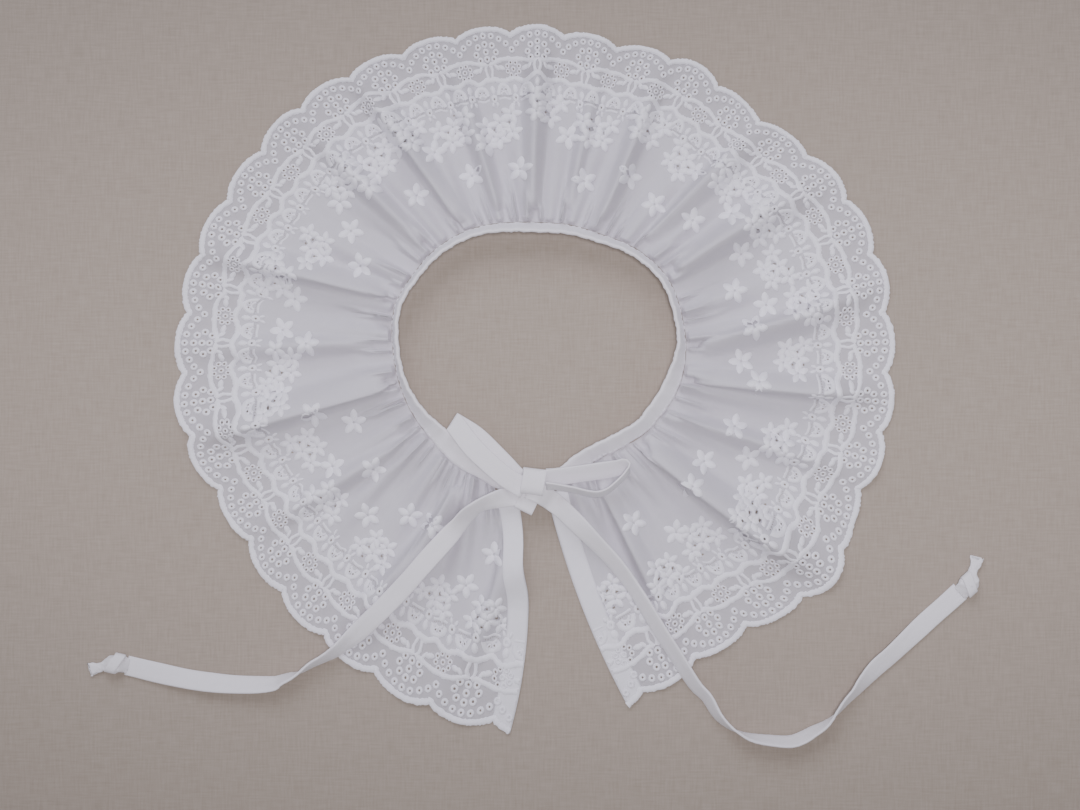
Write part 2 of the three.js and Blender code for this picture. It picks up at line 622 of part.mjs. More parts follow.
// The left loop: two layers that fan out towards the knot and meet in a fold at the far end.
function leftLoopGeometry() {
  const radius = (LOOP_WALL + LEFT_LOOP_RISE.layerGap) / 2;
  const spot = (share, layer) => ({
    x: read(LEFT_LOOP, "share", share, `${layer}X`),
    y: read(LEFT_LOOP, "share", share, `${layer}Y`),
    z: LEFT_LOOP_RISE.near + (LEFT_LOOP_RISE.far - LEFT_LOOP_RISE.near) * share,
  });
  const steps = 8;
  const middles = [];
  for (let i = 0; i <= steps; i += 1) {
    const { x, y, z } = spot(i / steps, "lower");
    middles.push(new THREE.Vector3(x, y, z));
  }
  const end = middles[steps].clone();
  const along = end.clone().sub(middles[steps - 1]).setZ(0).normalize();
  for (let i = 1; i < 6; i += 1) {
    const angle = (i / 6) * Math.PI;
    const rise = radius - Math.cos(angle) * radius;
    middles.push(end.clone().addScaledVector(along, Math.sin(angle) * radius).setZ(end.z + rise));
  }
  for (let i = steps; i >= 0; i -= 1) {
    const { x, y, z } = spot(i / steps, "upper");
    middles.push(new THREE.Vector3(x, y, z + 2 * radius + LOOP_ARCH * Math.sin((Math.PI * i) / steps)));
  }
  const sides = middles.map((middle, i) => {
    const before = middles[Math.max(0, i - 1)];
    const after = middles[Math.min(middles.length - 1, i + 1)];
    const run = i > steps && i < steps + 6 ? along : after.clone().sub(before).setZ(0).normalize();
    const sign = i > steps + 5 ? -1 : 1;
    return new THREE.Vector3(-run.y * sign, run.x * sign, 0).normalize();
  });
  return tape(middles, sides, TIE_WIDTH, LOOP_WALL);
}

// The right loop stands on its lower edge and leans back.
function rightLoopGeometry(below) {
  const points = RIGHT_LOOP.map(({ x, y, turn }) => new THREE.Vector3(x, y, turn));
  const spots = new THREE.CatmullRomCurve3(points, false, "centripetal").getPoints(38);
  let top = 0;
  for (const { x, y } of spots) {
    for (const dy of [-3, 0, 3]) {
      top = Math.max(top, topUnder(below, x, y + dy));
    }
  }
  const floor = Math.min(top, LOOP_FLOOR) + GAP + LOOP_WALL / 2;
  const middles = [];
  const sides = [];
  for (const { x, y, z: deg } of spots) {
    const turn = THREE.MathUtils.degToRad(deg);
    middles.push(new THREE.Vector3(x, y, floor + (TIE_WIDTH / 2) * Math.sin(turn)));
    sides.push(new THREE.Vector3(0.1 * Math.cos(turn), -Math.cos(turn), -Math.sin(turn)).normalize());
  }
  return tape(middles, sides, TIE_WIDTH, LOOP_WALL);
}

function placed(geometry, { x, y, z, turn }) {
  return geometry.rotateZ(THREE.MathUtils.degToRad(turn)).translate(x, y, z);
}

// A small overhand knot near a tie's end, with the tape's short end beyond it, turned to the left.
const END_KNOT_SIZE = new THREE.Vector3(10.4, 8.6, 6.2);
const END_STUB_SIZE = new THREE.Vector3(12, 6.2, 2.4);
const KNOT_TO_TIE = 5.3; // from the end of the tape to the middle of the knot, which meets it
const KNOT_TO_STUB = 8;
const STUB_TURN = 30;

function endKnotGeometry(route) {
  const end = route[route.length - 1];
  const before = route[route.length - 2];
  const turn = (Math.atan2(end.y - before.y, end.x - before.x) * 180) / Math.PI;
  const ahead = (from, deg, distance, z) => ({
    x: from.x + Math.cos((deg * Math.PI) / 180) * distance,
    y: from.y + Math.sin((deg * Math.PI) / 180) * distance,
    z,
    turn: deg,
  });
  const knot = ahead(end, turn, KNOT_TO_TIE, END_KNOT_SIZE.z / 2);
  const stub = ahead(knot, turn + STUB_TURN, KNOT_TO_STUB, END_STUB_SIZE.z / 2 + 0.3);
  return join([
    placed(lump(END_KNOT_SIZE, 0.7), { ...knot, turn: turn + STUB_TURN / 2 }),
    placed(lump(END_STUB_SIZE, 0.5), stub),
  ]);
}

const group = new THREE.Group();
group.name = "detachable_collar";

function piece(name, geometry, color, roughness) {
  const material = new THREE.MeshStandardMaterial({ color, roughness, metalness: 0 });
  const mesh = new THREE.Mesh(geometry, material);
  mesh.name = name;
  group.add(mesh);
  return mesh;
}

const frill = piece("lace_frill", frillGeometry(), BATISTE, 0.9);
const hemRight = piece("front_hem_right", hemGeometry(0, -1), COTTON, 0.85);
const hemLeft = piece("front_hem_left", hemGeometry(SCALLOPS, 1), COTTON, 0.85);
const band = piece("neck_band", bandGeometry(), COTTON, 0.85);
const cloth = [frill, hemRight, hemLeft, band];
cloth.forEach((mesh) => mesh.updateMatrixWorld());
piece("bow_loop_left", leftLoopGeometry(), COTTON, 0.85);
piece("bow_loop_right", rightLoopGeometry([band, frill]), COTTON, 0.85);
piece("bow_knot", join([placed(lump(KNOT_SIZE, 0.6), KNOT), placed(lump(KNOT_TAB_SIZE, 0.5), KNOT_TAB)]), COTTON, 0.85);
piece("tie_left", tieGeometry(LEFT_TIE, cloth), COTTON, 0.85);
piece("tie_right", tieGeometry(RIGHT_TIE, cloth), COTTON, 0.85);
piece("end_knot_left", endKnotGeometry(LEFT_TIE), COTTON, 0.85);
piece("end_knot_right", endKnotGeometry(RIGHT_TIE), COTTON, 0.85);

group.children.forEach((mesh) => mesh.geometry.translate(CENTRE_X, CENTRE_Y, 0));

export default group;
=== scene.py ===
"""A detachable collar of white cotton lying on a pale cloth-covered table, seen from above.

The gathered frill is one flat lace repeat, pierced and embroidered, that is copied along the cloth and laid
over a surface worked out from the same sections and folds as the CAD. Band, bow, ties and knots are folded
cotton tape. All sizes below are in millimetres and become metres when a mesh is made.
"""

import math

import bmesh
import bpy
import numpy as np
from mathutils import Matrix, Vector
from mathutils.bvhtree import BVHTree


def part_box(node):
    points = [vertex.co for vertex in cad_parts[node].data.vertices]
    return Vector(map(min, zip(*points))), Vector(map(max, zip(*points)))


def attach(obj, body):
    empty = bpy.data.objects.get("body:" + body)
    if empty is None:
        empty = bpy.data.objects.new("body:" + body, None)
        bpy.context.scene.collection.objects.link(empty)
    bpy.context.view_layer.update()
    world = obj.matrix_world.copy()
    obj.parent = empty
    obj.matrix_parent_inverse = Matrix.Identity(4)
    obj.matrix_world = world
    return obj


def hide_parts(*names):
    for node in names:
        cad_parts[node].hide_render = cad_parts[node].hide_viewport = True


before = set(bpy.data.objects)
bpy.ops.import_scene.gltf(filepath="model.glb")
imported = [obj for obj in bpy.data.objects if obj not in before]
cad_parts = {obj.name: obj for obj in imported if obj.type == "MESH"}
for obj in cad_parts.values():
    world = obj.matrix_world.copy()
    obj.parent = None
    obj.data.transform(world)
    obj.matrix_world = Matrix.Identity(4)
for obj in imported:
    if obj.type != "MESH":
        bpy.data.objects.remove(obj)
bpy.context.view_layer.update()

MM = 0.001
UV_PER_MM = 0.1  # one unit of every UV map is 10 mm of cloth
CENTRE = np.array([1.7, -1.6])  # the CAD's own shift of the neck drawing to the middle of the frame
NECK_CENTRE = np.array([0.0, 14.2])

# Sizes shared with the CAD.
SCALLOPS = 34
PITCH = 34.5
SCALLOP_DEPTH = 5.2
FRILL_WIDTH = 116.0
CLOTH_LENGTH = SCALLOPS * PITCH
SEAM_HEIGHT = 6.6
SEAM_FALL = 0.34
EDGE_LIFT = 0.1
HEM_WIDTH = 10.0
BAND_WIDTH = 9.4
BAND_HEIGHT = 7.8
TIE_WIDTH = 10.0
TIE_WALL = 1.3

# edgeDeg, edgeR, neckDeg, neckR, bow: the lines of the frill from neck to edge
SECTIONS = np.array([
    (-72.7, 183, -78.5, 69, -4),
    (-67, 179.5, -71, 64.6, -1),
    (-58, 176, -61, 62.4, 0),
    (-48, 180.5, -50, 64.2, 0),
    (-40, 188, -41.5, 66.3, 0),
    (-34, 187.5, -36, 68.2, 0),
    (-28, 180, -30, 69.2, 0),
    (-16, 181, -17.5, 72.1, 0),
    (0, 178.5, -2, 73.7, 0),
    (15, 178, 13, 73.6, 0),
    (30, 173.5, 29, 73.7, 0),
    (47, 162, 46, 69.8, 0),
    (61, 164, 61, 65.5, 0),
    (75, 159.5, 75, 64.1, 0),
    (90, 162.5, 90, 63.3, 0),
    (104, 164, 103, 64.9, 0),
    (119, 167, 118, 68.4, 0),
    (135, 173, 135, 71.3, 0),
    (150, 175, 149, 72.6, 0),
    (165, 179.5, 163, 74.5, 0),
    (180, 181.5, 179, 72.4, 0),
    (192, 184, 191, 71.3, 0),
    (209, 177, 207, 70.3, 0),
    (225, 180.5, 221, 69.4, 0),
    (240, 184, 234, 70.4, 1),
    (254, 190, 246, 70.1, 4),
    (262.8, 192, 252.6, 71.8, 8),
], dtype=float)
EDGE_DEG, EDGE_R, NECK_DEG, NECK_R, BOW = range(5)

# neckDeg, edgeDeg, rise, falls, half width, lean: the main folds
FOLDS = [
    (-65, -64, 9, 0.4, 7, -2),
    (-41.5, -37.8, 17, 0.62, 11, -4),
    (-25.5, -20.6, 11, 0.35, 8, 0),
    (-10.4, -6.8, 14, 0.6, 8, -3),
    (-0.4, 11.2, 13, 0.55, 9, 2),
    (30.3, 31.6, 14, 0.45, 12, 0),
    (44.2, 44.5, 12, 0.5, 8, 2),
    (63.2, 67.3, 11, 0.5, 7, 0),
    (78, 78, 9, 0.3, 6, 0),
    (92, 89.5, 14, 0.6, 8, 0),
    (105, 107, 10, 0.4, 7, 0),
    (120.4, 123.5, 14, 0.65, 8, 2),
    (137, 136, 12, 0.45, 8, 0),
    (159, 163.4, 13, 0.6, 9, 3),
    (178, 180, 9, 0.35, 8, 0),
    (191.5, 194.4, 16, 0.65, 11, 4),
    (214, 212, 9, 0.35, 8, 0),
    (240.5, 233.6, 12, 0.5, 9, -2),
    (257, 253.5, 8, 0.4, 7, -2),
]

# deg, seen: how wide the band looks from straight above
BAND_SEEN = np.array([
    (-86, 9.2), (-70, 8), (-61, 6.8), (-49, 7), (-37, 6.5), (-22, 7.4), (-13, 7), (-3, 4.8), (5, 3),
    (39, 2.9), (53, 3.2), (90, 4), (118, 3.2), (153, 2.2), (190, 2.2), (209, 5.4), (223, 8.4), (259.5, 9.2),
], dtype=float)

# x, y, turn: the ties' middle lines, and the degrees that the tape stands up on its edge
LEFT_TIE = [
    (-11.2, -58.1, 0), (-16, -59, -15), (-23, -60.8, -37), (-29.8, -63.5, -52), (-34, -66.6, -48),
    (-39.5, -73, -35), (-45.5, -79.8, -8), (-55.6, -90.9, 0), (-65.1, -101.8, 0), (-75.5, -112.8, 0),
    (-88.5, -125.4, -18), (-96.8, -132.6, -47), (-102, -136.9, -57), (-106.5, -139.5, -66),
    (-112.3, -142.4, -72), (-118.5, -146.5, -85), (-123.3, -148.5, -104), (-128.3, -150.5, -114),
    (-131.4, -152.1, -127), (-142.5, -152.8, -143), (-155.8, -152.4, -152), (-172, -150.6, -162),
    (-189, -147.3, -176), (-201, -144.5, -180), (-205.5, -143.4, -180),
]
RIGHT_TIE = [
    (4.6, -59.4, 0), (7.9, -61.8, 0), (12.3, -65.3, 18), (18, -70.8, 24), (28.3, -81.4, 37),
    (39.5, -93.5, 45), (49.8, -107.8, 50), (60, -124.6, 48), (69.3, -139.1, 50), (78.5, -153.3, 53),
    (84, -159, 59), (89.3, -167.8, 66), (95.3, -173.7, 78), (100.5, -176.7, 90), (106.5, -179, 104),
    (113.8, -180.2, 112), (126.3, -180.9, 117), (132, -178.9, 117), (137, -176, 112),
    (141.8, -173.3, 103), (145.8, -170.1, 90), (149, -166.6, 76), (153.5, -161.1, 66),
    (157.9, -156.5, 59), (161.5, -152.1, 46), (169.4, -143.8, 27), (175.5, -138.6, 24),
    (194.5, -121.1, 3), (204.5, -112.3, 0), (211, -106.4, 0),
]
# share of the way from the knot, then the middle lines of the upper and the lower layer of the left loop
LEFT_LOOP = np.array([
    (-0.14, -6.2, -55, -9.4, -50.4), (0, -10.4, -52.4, -12.8, -47), (0.25, -17.9, -47.4, -17.6, -41.7),
    (0.6, -31.3, -35.1, -29.5, -29.9), (1, -41, -22.7, -41, -22.3),
], dtype=float)
LOOP_NEAR, LOOP_FAR, LAYER_GAP, LOOP_ARCH = 12.0, 14.6, 1.5, 1.2
RIGHT_LOOP = [
    (4.4, -49.6, 32), (12, -48.6, 32), (19, -47.6, 32), (30, -46, 33), (38.5, -44.6, 38), (43, -43, 50),
    (44.9, -44.6, 62), (42.8, -48.2, 70), (38.5, -52.4, 72), (33.5, -56.2, 72), (29, -57.4, 72),
    (24, -56.8, 72), (18.5, -55.4, 72), (12, -54.2, 72), (8.6, -53.6, 72),
]
KNOT = dict(at=(-2.3, -51.2, 14.6), size=(12, 13, 7.4), turn=-7)
KNOT_TAB = dict(top=(-2.4, -55.5, 12.4), tip=(-7, -65.1, 11.2), width=9.4)
STUB_TURN = 30  # degrees that the ragged end beyond a small knot bends away


# Curves, lines and faces
def read(rows, at, column, key=0):
    """A smooth curve through one column of a table, read at values of its key."""
    x, y = rows[:, key], rows[:, column]
    i = np.clip(np.searchsorted(x, at) - 1, 0, len(x) - 2)
    before, after = np.maximum(i - 1, 0), np.minimum(i + 2, len(x) - 1)
    span = x[i + 1] - x[i]
    share = np.clip((at - x[i]) / span, 0, 1)
    slope_from = (y[i + 1] - y[before]) / (x[i + 1] - x[before]) * span
    slope_to = (y[after] - y[i]) / (x[after] - x[i]) * span
    s2, s3 = share**2, share**3
    return (y[i] * (2 * s3 - 3 * s2 + 1) + slope_from * (s3 - 2 * s2 + share)
            + y[i + 1] * (3 * s2 - 2 * s3) + slope_to * (s3 - s2))


def smoothstep(start, end, value):
    share = np.clip((value - start) / (end - start), 0, 1)
    return share * share * (3 - 2 * share)


def unit(vectors):
    return vectors / np.linalg.norm(vectors, axis=-1, keepdims=True)


def run_along(points):
    """How far along a line each of its points lies."""
    return np.concatenate([[0], np.cumsum(np.linalg.norm(np.diff(points, axis=0), axis=1))])


def tube(rows, count, first=0):
    """Quads round a closed tube of rows of points, and a face over each end."""
    faces = []
    for i in range(rows - 1):
        a, b = first + i * count, first + (i + 1) * count
        faces += [(a + k, a + (k + 1) % count, b + (k + 1) % count, b + k) for k in range(count)]
    last = first + (rows - 1) * count
    return faces + [tuple(range(first, first + count))[::-1], tuple(range(last, last + count))]


def around(deg, radius):
    angle = np.radians(deg)
    return NECK_CENTRE + np.stack([np.cos(angle) * radius, np.sin(angle) * radius], axis=-1)


# The cloth's surface
GATHERS = 90  # gathers at the band: every third is broad and long, the others are short, narrow pleats
# ranges of a gather's length, as a share of the way out, and of its half width, in scallops
LONG_GATHER, SHORT_GATHER = ((0.5, 0.85), (0.26, 0.4)), ((0.12, 0.3), (0.1, 0.17))
GATHER_RISE = (3, 5.6)
RIPPLE, TIP_CURL = 0.45, 0.9
CLOTH_OVER_FLOOR = 0.45
STEPS_PER_SCALLOP, STEPS_OUT = 40, 232


def cloth_height(s, t, neck_deg, edge_deg, neck_r, edge_r):
    """The height of the cloth s scallops along and t of its width out, and its lean for each mm of height."""
    base = SEAM_HEIGHT * (1 - smoothstep(0, SEAM_FALL, t))
    deg = neck_deg + (edge_deg - neck_deg) * t
    radius = neck_r + (edge_r - neck_r) * t
    height, lean = base.copy(), np.zeros_like(base)
    for crest_neck, crest_edge, rise, falls, half, leans in FOLDS:
        crest = crest_neck + (crest_edge - crest_neck) * t
        off = np.radians(deg - crest) * radius
        wide = half * (0.6 + 0.75 * t)
        across = np.where(np.abs(off) < wide, np.cos(np.clip(off / wide, -1, 1) * np.pi / 2) ** 2, 0)
        along = smoothstep(-0.02, 0.14, t) * (1 - (1 - EDGE_LIFT) * smoothstep(falls, 1, t))
        height += np.maximum(0, rise * along - base) * across
        lean += leans / rise * across
    rng = np.random.default_rng(7)
    for k in range(GATHERS):
        middle = (k + 0.5 + rng.uniform(-0.6, 0.6)) * SCALLOPS / GATHERS
        drift = rng.uniform(-0.3, 0.3)
        tall = rng.uniform(*GATHER_RISE)
        length, half = [rng.uniform(*span) for span in (SHORT_GATHER if k % 3 else LONG_GATHER)]
        off = (s - middle - drift * t) / (half * (1 + 0.9 * t))
        across = np.cos(np.clip(off, -1, 1) * np.pi / 2) ** 2
        height += tall * across * smoothstep(0, 0.03, t) * (1 - smoothstep(length * 0.3, length, t))
    soft = (np.sin(s * 2.3 + 5 * t) * np.sin(s * 0.9 + 11 * t + 1)
            + 0.6 * np.sin(s * 5.1 - 9 * t) * np.sin(t * 14 + s))
    height += RIPPLE * (soft + 0.7) * smoothstep(0.2, 0.4, t)
    curl = 0.5 - 0.5 * np.cos(2 * np.pi * s + 1.2 * np.sin(s * 1.3))
    height += TIP_CURL * curl * smoothstep(0.9, 1, t)
    return np.maximum(height, 0), lean


def cloth_surface():
    """Points, normals and end directions of the cloth on a fine grid, from neck (0) to scallop tip (1)."""
    s = np.linspace(0, SCALLOPS, SCALLOPS * STEPS_PER_SCALLOP + 1)
    t = np.linspace(0, 1, STEPS_OUT + 1)
    edge_deg = SECTIONS[0, EDGE_DEG] + (SECTIONS[-1, EDGE_DEG] - SECTIONS[0, EDGE_DEG]) * s / SCALLOPS
    neck_deg, neck_r = read(SECTIONS, edge_deg, NECK_DEG), read(SECTIONS, edge_deg, NECK_R)
    edge_r, bow = read(SECTIONS, edge_deg, EDGE_R), read(SECTIONS, edge_deg, BOW)
    grid = [x[:, None] for x in (neck_deg, edge_deg, neck_r, edge_r)]
    height, lean = cloth_height(s[:, None], np.broadcast_to(t, (len(s), len(t))), *grid)
    length = FRILL_WIDTH / STEPS_OUT
    flat = np.sqrt(np.maximum(length**2 - np.diff(height, axis=1) ** 2, (0.4 * length) ** 2))
    far = np.concatenate([np.zeros((len(s), 1)), np.cumsum(flat, axis=1)], axis=1)
    far = far / far[:, -1:]
    neck, edge = around(neck_deg, neck_r), around(edge_deg, edge_r)
    out = unit(edge - neck)
    side = np.stack([-out[:, 1], out[:, 0]], axis=1)
    sideways = bow[:, None] * 4 * far * (1 - far) + lean * height
    plan = neck[:, None] + (edge - neck)[:, None] * far[..., None] + side[:, None] * sideways[..., None]
    points = np.concatenate([plan + CENTRE, height[..., None] + CLOTH_OVER_FLOOR], axis=2)
    outward = np.gradient(points, axis=1)
    normals = unit(np.cross(outward, np.gradient(points, axis=0)))
    ends = []
    for row in (0, -1):
        level = unit(outward[row] * [1, 1, 0])
        ends.append(np.stack([-level[:, 1], level[:, 0], np.zeros(len(t))], axis=1))
    return points, normals, ends


SURFACE, NORMALS, ENDS = cloth_surface()


def on_cloth(u, w, lift=0.0):
    """Points and normals on the cloth, u mm along it from the right front and w mm in from the scallop tips.

    Beyond either end the cloth goes on level, as the hems do."""
    u, w, lift = np.broadcast_arrays(np.asarray(u, float), np.asarray(w, float), np.asarray(lift, float))
    i = np.clip(u / PITCH, 0, SCALLOPS) * STEPS_PER_SCALLOP
    j = np.clip(1 - w / FRILL_WIDTH, 0, 1) * STEPS_OUT
    i0, j0 = np.minimum(i.astype(int), SURFACE.shape[0] - 2), np.minimum(j.astype(int), STEPS_OUT - 1)
    a, b = (i - i0)[..., None], (j - j0)[..., None]

    def blend(grid):
        return ((1 - a) * (1 - b) * grid[i0, j0] + a * (1 - b) * grid[i0 + 1, j0]
                + (1 - a) * b * grid[i0, j0 + 1] + a * b * grid[i0 + 1, j0 + 1])

    points, normals = blend(SURFACE), unit(blend(NORMALS))
    for end, beyond in ((0, np.minimum(u, 0)), (1, np.maximum(u - CLOTH_LENGTH, 0))):
        line = ENDS[end]
        points = points + ((1 - b) * line[j0] + b * line[j0 + 1]) * beyond[..., None]
    return points + normals * lift[..., None], normals


def show(name, data):
    obj = bpy.data.objects.new(name, data)
    bpy.context.scene.collection.objects.link(obj)
    return obj


def make_piece(name, points, faces, material, node, uv=None, normals=None):
    """A piece from points in mm that stands for one solid; uv is a pair of mm for each point."""
    mesh = bpy.data.meshes.new(name)
    mesh.from_pydata([tuple(p) for p in np.asarray(points, float) * MM], [], [tuple(f) for f in faces])
    mesh.polygons.foreach_set("use_smooth", [True] * len(mesh.polygons))
    if uv is not None:
        layer = mesh.uv_layers.new(name="UVMap")
        loops = np.zeros(len(mesh.loops), dtype=int)
        mesh.loops.foreach_get("vertex_index", loops)
        layer.uv.foreach_set("vector", (np.asarray(uv, float)[loops] * UV_PER_MM).ravel())
    if normals is not None:
        mesh.normals_split_custom_set_from_vertices([tuple(n) for n in normals])
    mesh.materials.append(material)
    mesh.update()
    obj = show(name, mesh)
    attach(obj, "root")
    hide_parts(node)
    return obj


def surface_of(*pieces):
    """The pieces' surface in mm, for rays that are cast down on it."""
    points, faces = [], []
    for piece in pieces:
        base = len(points)
        points += [tuple(v.co / MM) for v in piece.data.vertices]
        faces += [tuple(base + v for v in p.vertices) for p in piece.data.polygons]
    return BVHTree.FromPolygons(points, faces)


def drop(below, x, y, from_height):
    """Where a ray that is cast straight down meets what lies below, and the normal there."""
    return below.ray_cast(Vector((x, y, from_height)), Vector((0, 0, -1)))[:2]


# The lace
# the stitched lines: how far apart their edges step in or out, mm, and by which share of half the width
TUFT_LENGTH = 1.1
TUFT_SHARE = 0.2
PETAL = dict(start=0.4, length=6.3, width=3.9)


class Flat:
    """Flat pieces of one lace repeat: points (along, in from the tip, lift) in mm, with a uv whose first
    coordinate runs across the threads of the stitching."""

    def __init__(self):
        self.rng = np.random.default_rng(5)
        self.points, self.uv, self.faces = [], [], []

    def rows(self, rows, uvs, closed=False):
        first, wide = len(self.points), len(rows[0])
        for row, row_uv in zip(rows, uvs):
            self.points += row
            self.uv += row_uv
        count = len(rows)
        for i in range(count if closed else count - 1):
            n = (i + 1) % count
            for k in range(wide - 1):
                a, b = first + i * wide + k, first + n * wide + k
                self.faces.append((a, a + 1, b + 1, b))

    def strip(self, line, width, lift, flat_top=False):
        """A raised line of satin stitch along points (along, in), its stitches of uneven length."""
        corners = np.asarray(line, float)
        reached = run_along(corners)
        run = np.linspace(0, reached[-1], max(len(corners), round(reached[-1] / TUFT_LENGTH) + 1))
        line = np.stack([np.interp(run, reached, corners[:, k]) for k in (0, 1)], axis=1)
        tangent = unit(np.gradient(line, axis=0))
        side = np.stack([-tangent[:, 1], tangent[:, 0]], axis=1)
        middle = [(-0.3, lift), (0.3, lift)] if flat_top else [(0, lift)]
        shape = [(-0.5, 0), *middle, (0.5, 0)]
        uneven = 1 + self.rng.uniform(-TUFT_SHARE, TUFT_SHARE, (len(line), 2))
        rows = [[(*(p + n * width * a * (front if a > 0 else back)), h) for a, h in shape]
                for p, n, (back, front) in zip(line, side, uneven)]
        uvs = [[(r, width * a) for a, _ in shape] for r in run]
        self.rows(rows, uvs)

    def ring(self, x, w, hole, outer, lift):
        """Stitching round an eyelet."""
        count = 10
        turns = [2 * math.pi * k / count for k in range(count)]
        radii = [(hole, lift * 0.3), (hole + (outer - hole) * 0.35, lift), (outer * 0.88, lift), (outer, 0)]
        rows = [[(x + math.cos(a) * r, w + math.sin(a) * r, h) for r, h in radii] for a in turns]
        uvs = [[(a * (hole + outer) / 2, r) for r, _ in radii] for a in turns]
        self.rows(rows, uvs, True)

    def petal(self, x, w, deg, start, length, width, lift, point=0.35):
        """A domed petal or leaf that points away from (x, w); point is how sharply its two ends narrow."""
        count = 10
        angle = math.radians(deg)
        ca, sa = math.cos(angle), math.sin(angle)
        first = len(self.points)
        middle = start + length * 0.5
        for scale, h in ((1, 0), (0.8, lift * 0.85), (0, lift)):
            for k in range(count if scale else 1):
                turn = 2 * math.pi * k / count
                along = math.cos(turn) * length / 2
                across = math.sin(turn) * abs(math.sin(turn)) ** point * width / 2
                along, across = middle + along * scale, across * scale
                self.points.append((x + ca * along - sa * across, w + sa * along + ca * across, h))
                self.uv.append((along, across))
        for k in range(count):
            n = (k + 1) % count
            self.faces.append((first + k, first + n, first + count + n, first + count + k))
            self.faces.append((first + count + k, first + count + n, first + 2 * count))

    def flower(self, x, y, turn, size=1.0, lift=0.7):
        start, length, width = [PETAL[key] * size for key in ("start", "length", "width")]
        for k in range(5):
            self.petal(x, y, turn + 72 * k, start, length, width, lift, 0.45)

    def arrays(self):
        return np.array(self.points), np.array(self.uv), self.faces


HALF = PITCH / 2
LACE_IN = 46.0
WAVE_LINE = 30.8  # the cloth lies single and flat beyond the waved line of stitching


def edge_in(a):
    """How far in from the tip line the scalloped edge lies, a mm from a scallop's middle."""
    return SCALLOP_DEPTH * (1 - np.abs(np.cos(np.pi * np.asarray(a, float) / PITCH)) ** 0.6)


def edge_along(u):
    """How far in from the tip line the scalloped edge lies, u mm along the cloth."""
    return edge_in((u / PITCH) % 1 * PITCH - HALF)


# x from the scallop's middle, w in from its tip: the eyelets that follow the edge
BORDER_EYELETS = [(0, 5.2), (4.9, 5.9), (9.6, 7.9), (13.8, 10.6)]


def eyelets():
    """x, w, hole radius and ring radius of the eyelets of one repeat."""
    found = []
    for x, w in BORDER_EYELETS:
        for sign in ((1, -1) if x else (1,)):
            found.append((x * sign, w, 0.55, 2.0))
    found.append((HALF, 14.0, 0.6, 2.05))
    for x, w in ((0, 9.9), (0, 14.3), (0, 18.4), (-4.6, 11.4), (4.6, 11.4), (-6.6, 15.4), (6.6, 15.4),
                 (-4.6, 19.2), (4.6, 19.2)):
        found.append((x, w, 0.66, 2.1))
    for k in range(8):
        angle = math.radians(22.5 + 45 * k)
        found.append((HALF + 4.4 * math.cos(angle), 25 + 3.9 * math.sin(angle), 0.6, 1.6))
    found.append((HALF, 25, 0.62, 1.65))
    for x in (0, HALF):
        found.append((x, 41.2, 0.62, 2.5))
    for x in (-8.6, 8.6):
        for dx in (-1.5, 1.5):
            found.append((x + dx, 37.2, 0.5, 1.35))
    return found


PIN_HOLES = [(x + dx, 41.2, 0.3) for x in (-8.6, 8.6) for dx in (-3.6, -2.4, -1.2, 0, 1.2, 2.4, 3.6)]
# x, y: the single flowers and the middles of the close groups, where they are seen from above
LONE_FLOWERS = [
    (-25.5, 116.5), (-33, 101), (-9, 104), (-83.5, 95), (-60.5, 91), (-93.5, 73.5), (-88.5, 56),
    (-121.5, 39.5), (-127.5, 24), (-115, 17), (-99, 88), (-51.5, 112.5), (15, 120.5), (23, 98),
    (45.5, 100.5), (58, 86.5), (77, 78.5), (96.5, 82), (109.5, 86.5), (101.5, 62), (114, 36.5), (107, 25),
    (101.5, 8.5), (98, 43.5), (109.5, -2), (-92, -22), (-111.5, -18), (-102.5, -44), (-82, -45.5),
    (-85, -68.5), (-64, -68.5), (-52, -73), (-22, -88), (-36, -103.5), (76, -53.5), (47.5, -72), (105, -40),
    (98, -24), (83, -41.5), (69, -77),
]
FLOWER_GROUPS = [
    (-42, 125), (-67, 122), (-81, 109.5), (-98.5, 100), (-113, 65), (-129.5, 6.5), (-131.5, 51), (4, 137),
    (-18.5, 127), (29, 125), (56, 126), (73.5, 109), (96.5, 98), (113, 77), (120, 55), (134, 37.5),
    (129.5, 9.5), (-134, -11), (-117.5, -36), (-106, -62.5), (-82.5, -87), (-51, -110.5), (-25.5, -120),
    (122, -31.5), (109, -58.5), (105, -70.5), (82, -81.5), (65, -99), (38, -110),
]
# x, y, turn, size of the flowers of one group, y away from the neck, and the slots cut between them
GROUP = [(0.4, 0.6, 9, 0.86), (7.4, 1, 30, 0.82), (-6.6, 2.6, 50, 0.84), (3.2, -6.6, 0, 0.86),
         (-3.9, -6, 40, 0.82)]
GROUP_SLOTS = [(3.9, -1.8), (-0.2, -4.2), (-3.9, -1.2), (-2.6, 4.4)]
EYELETS = eyelets()


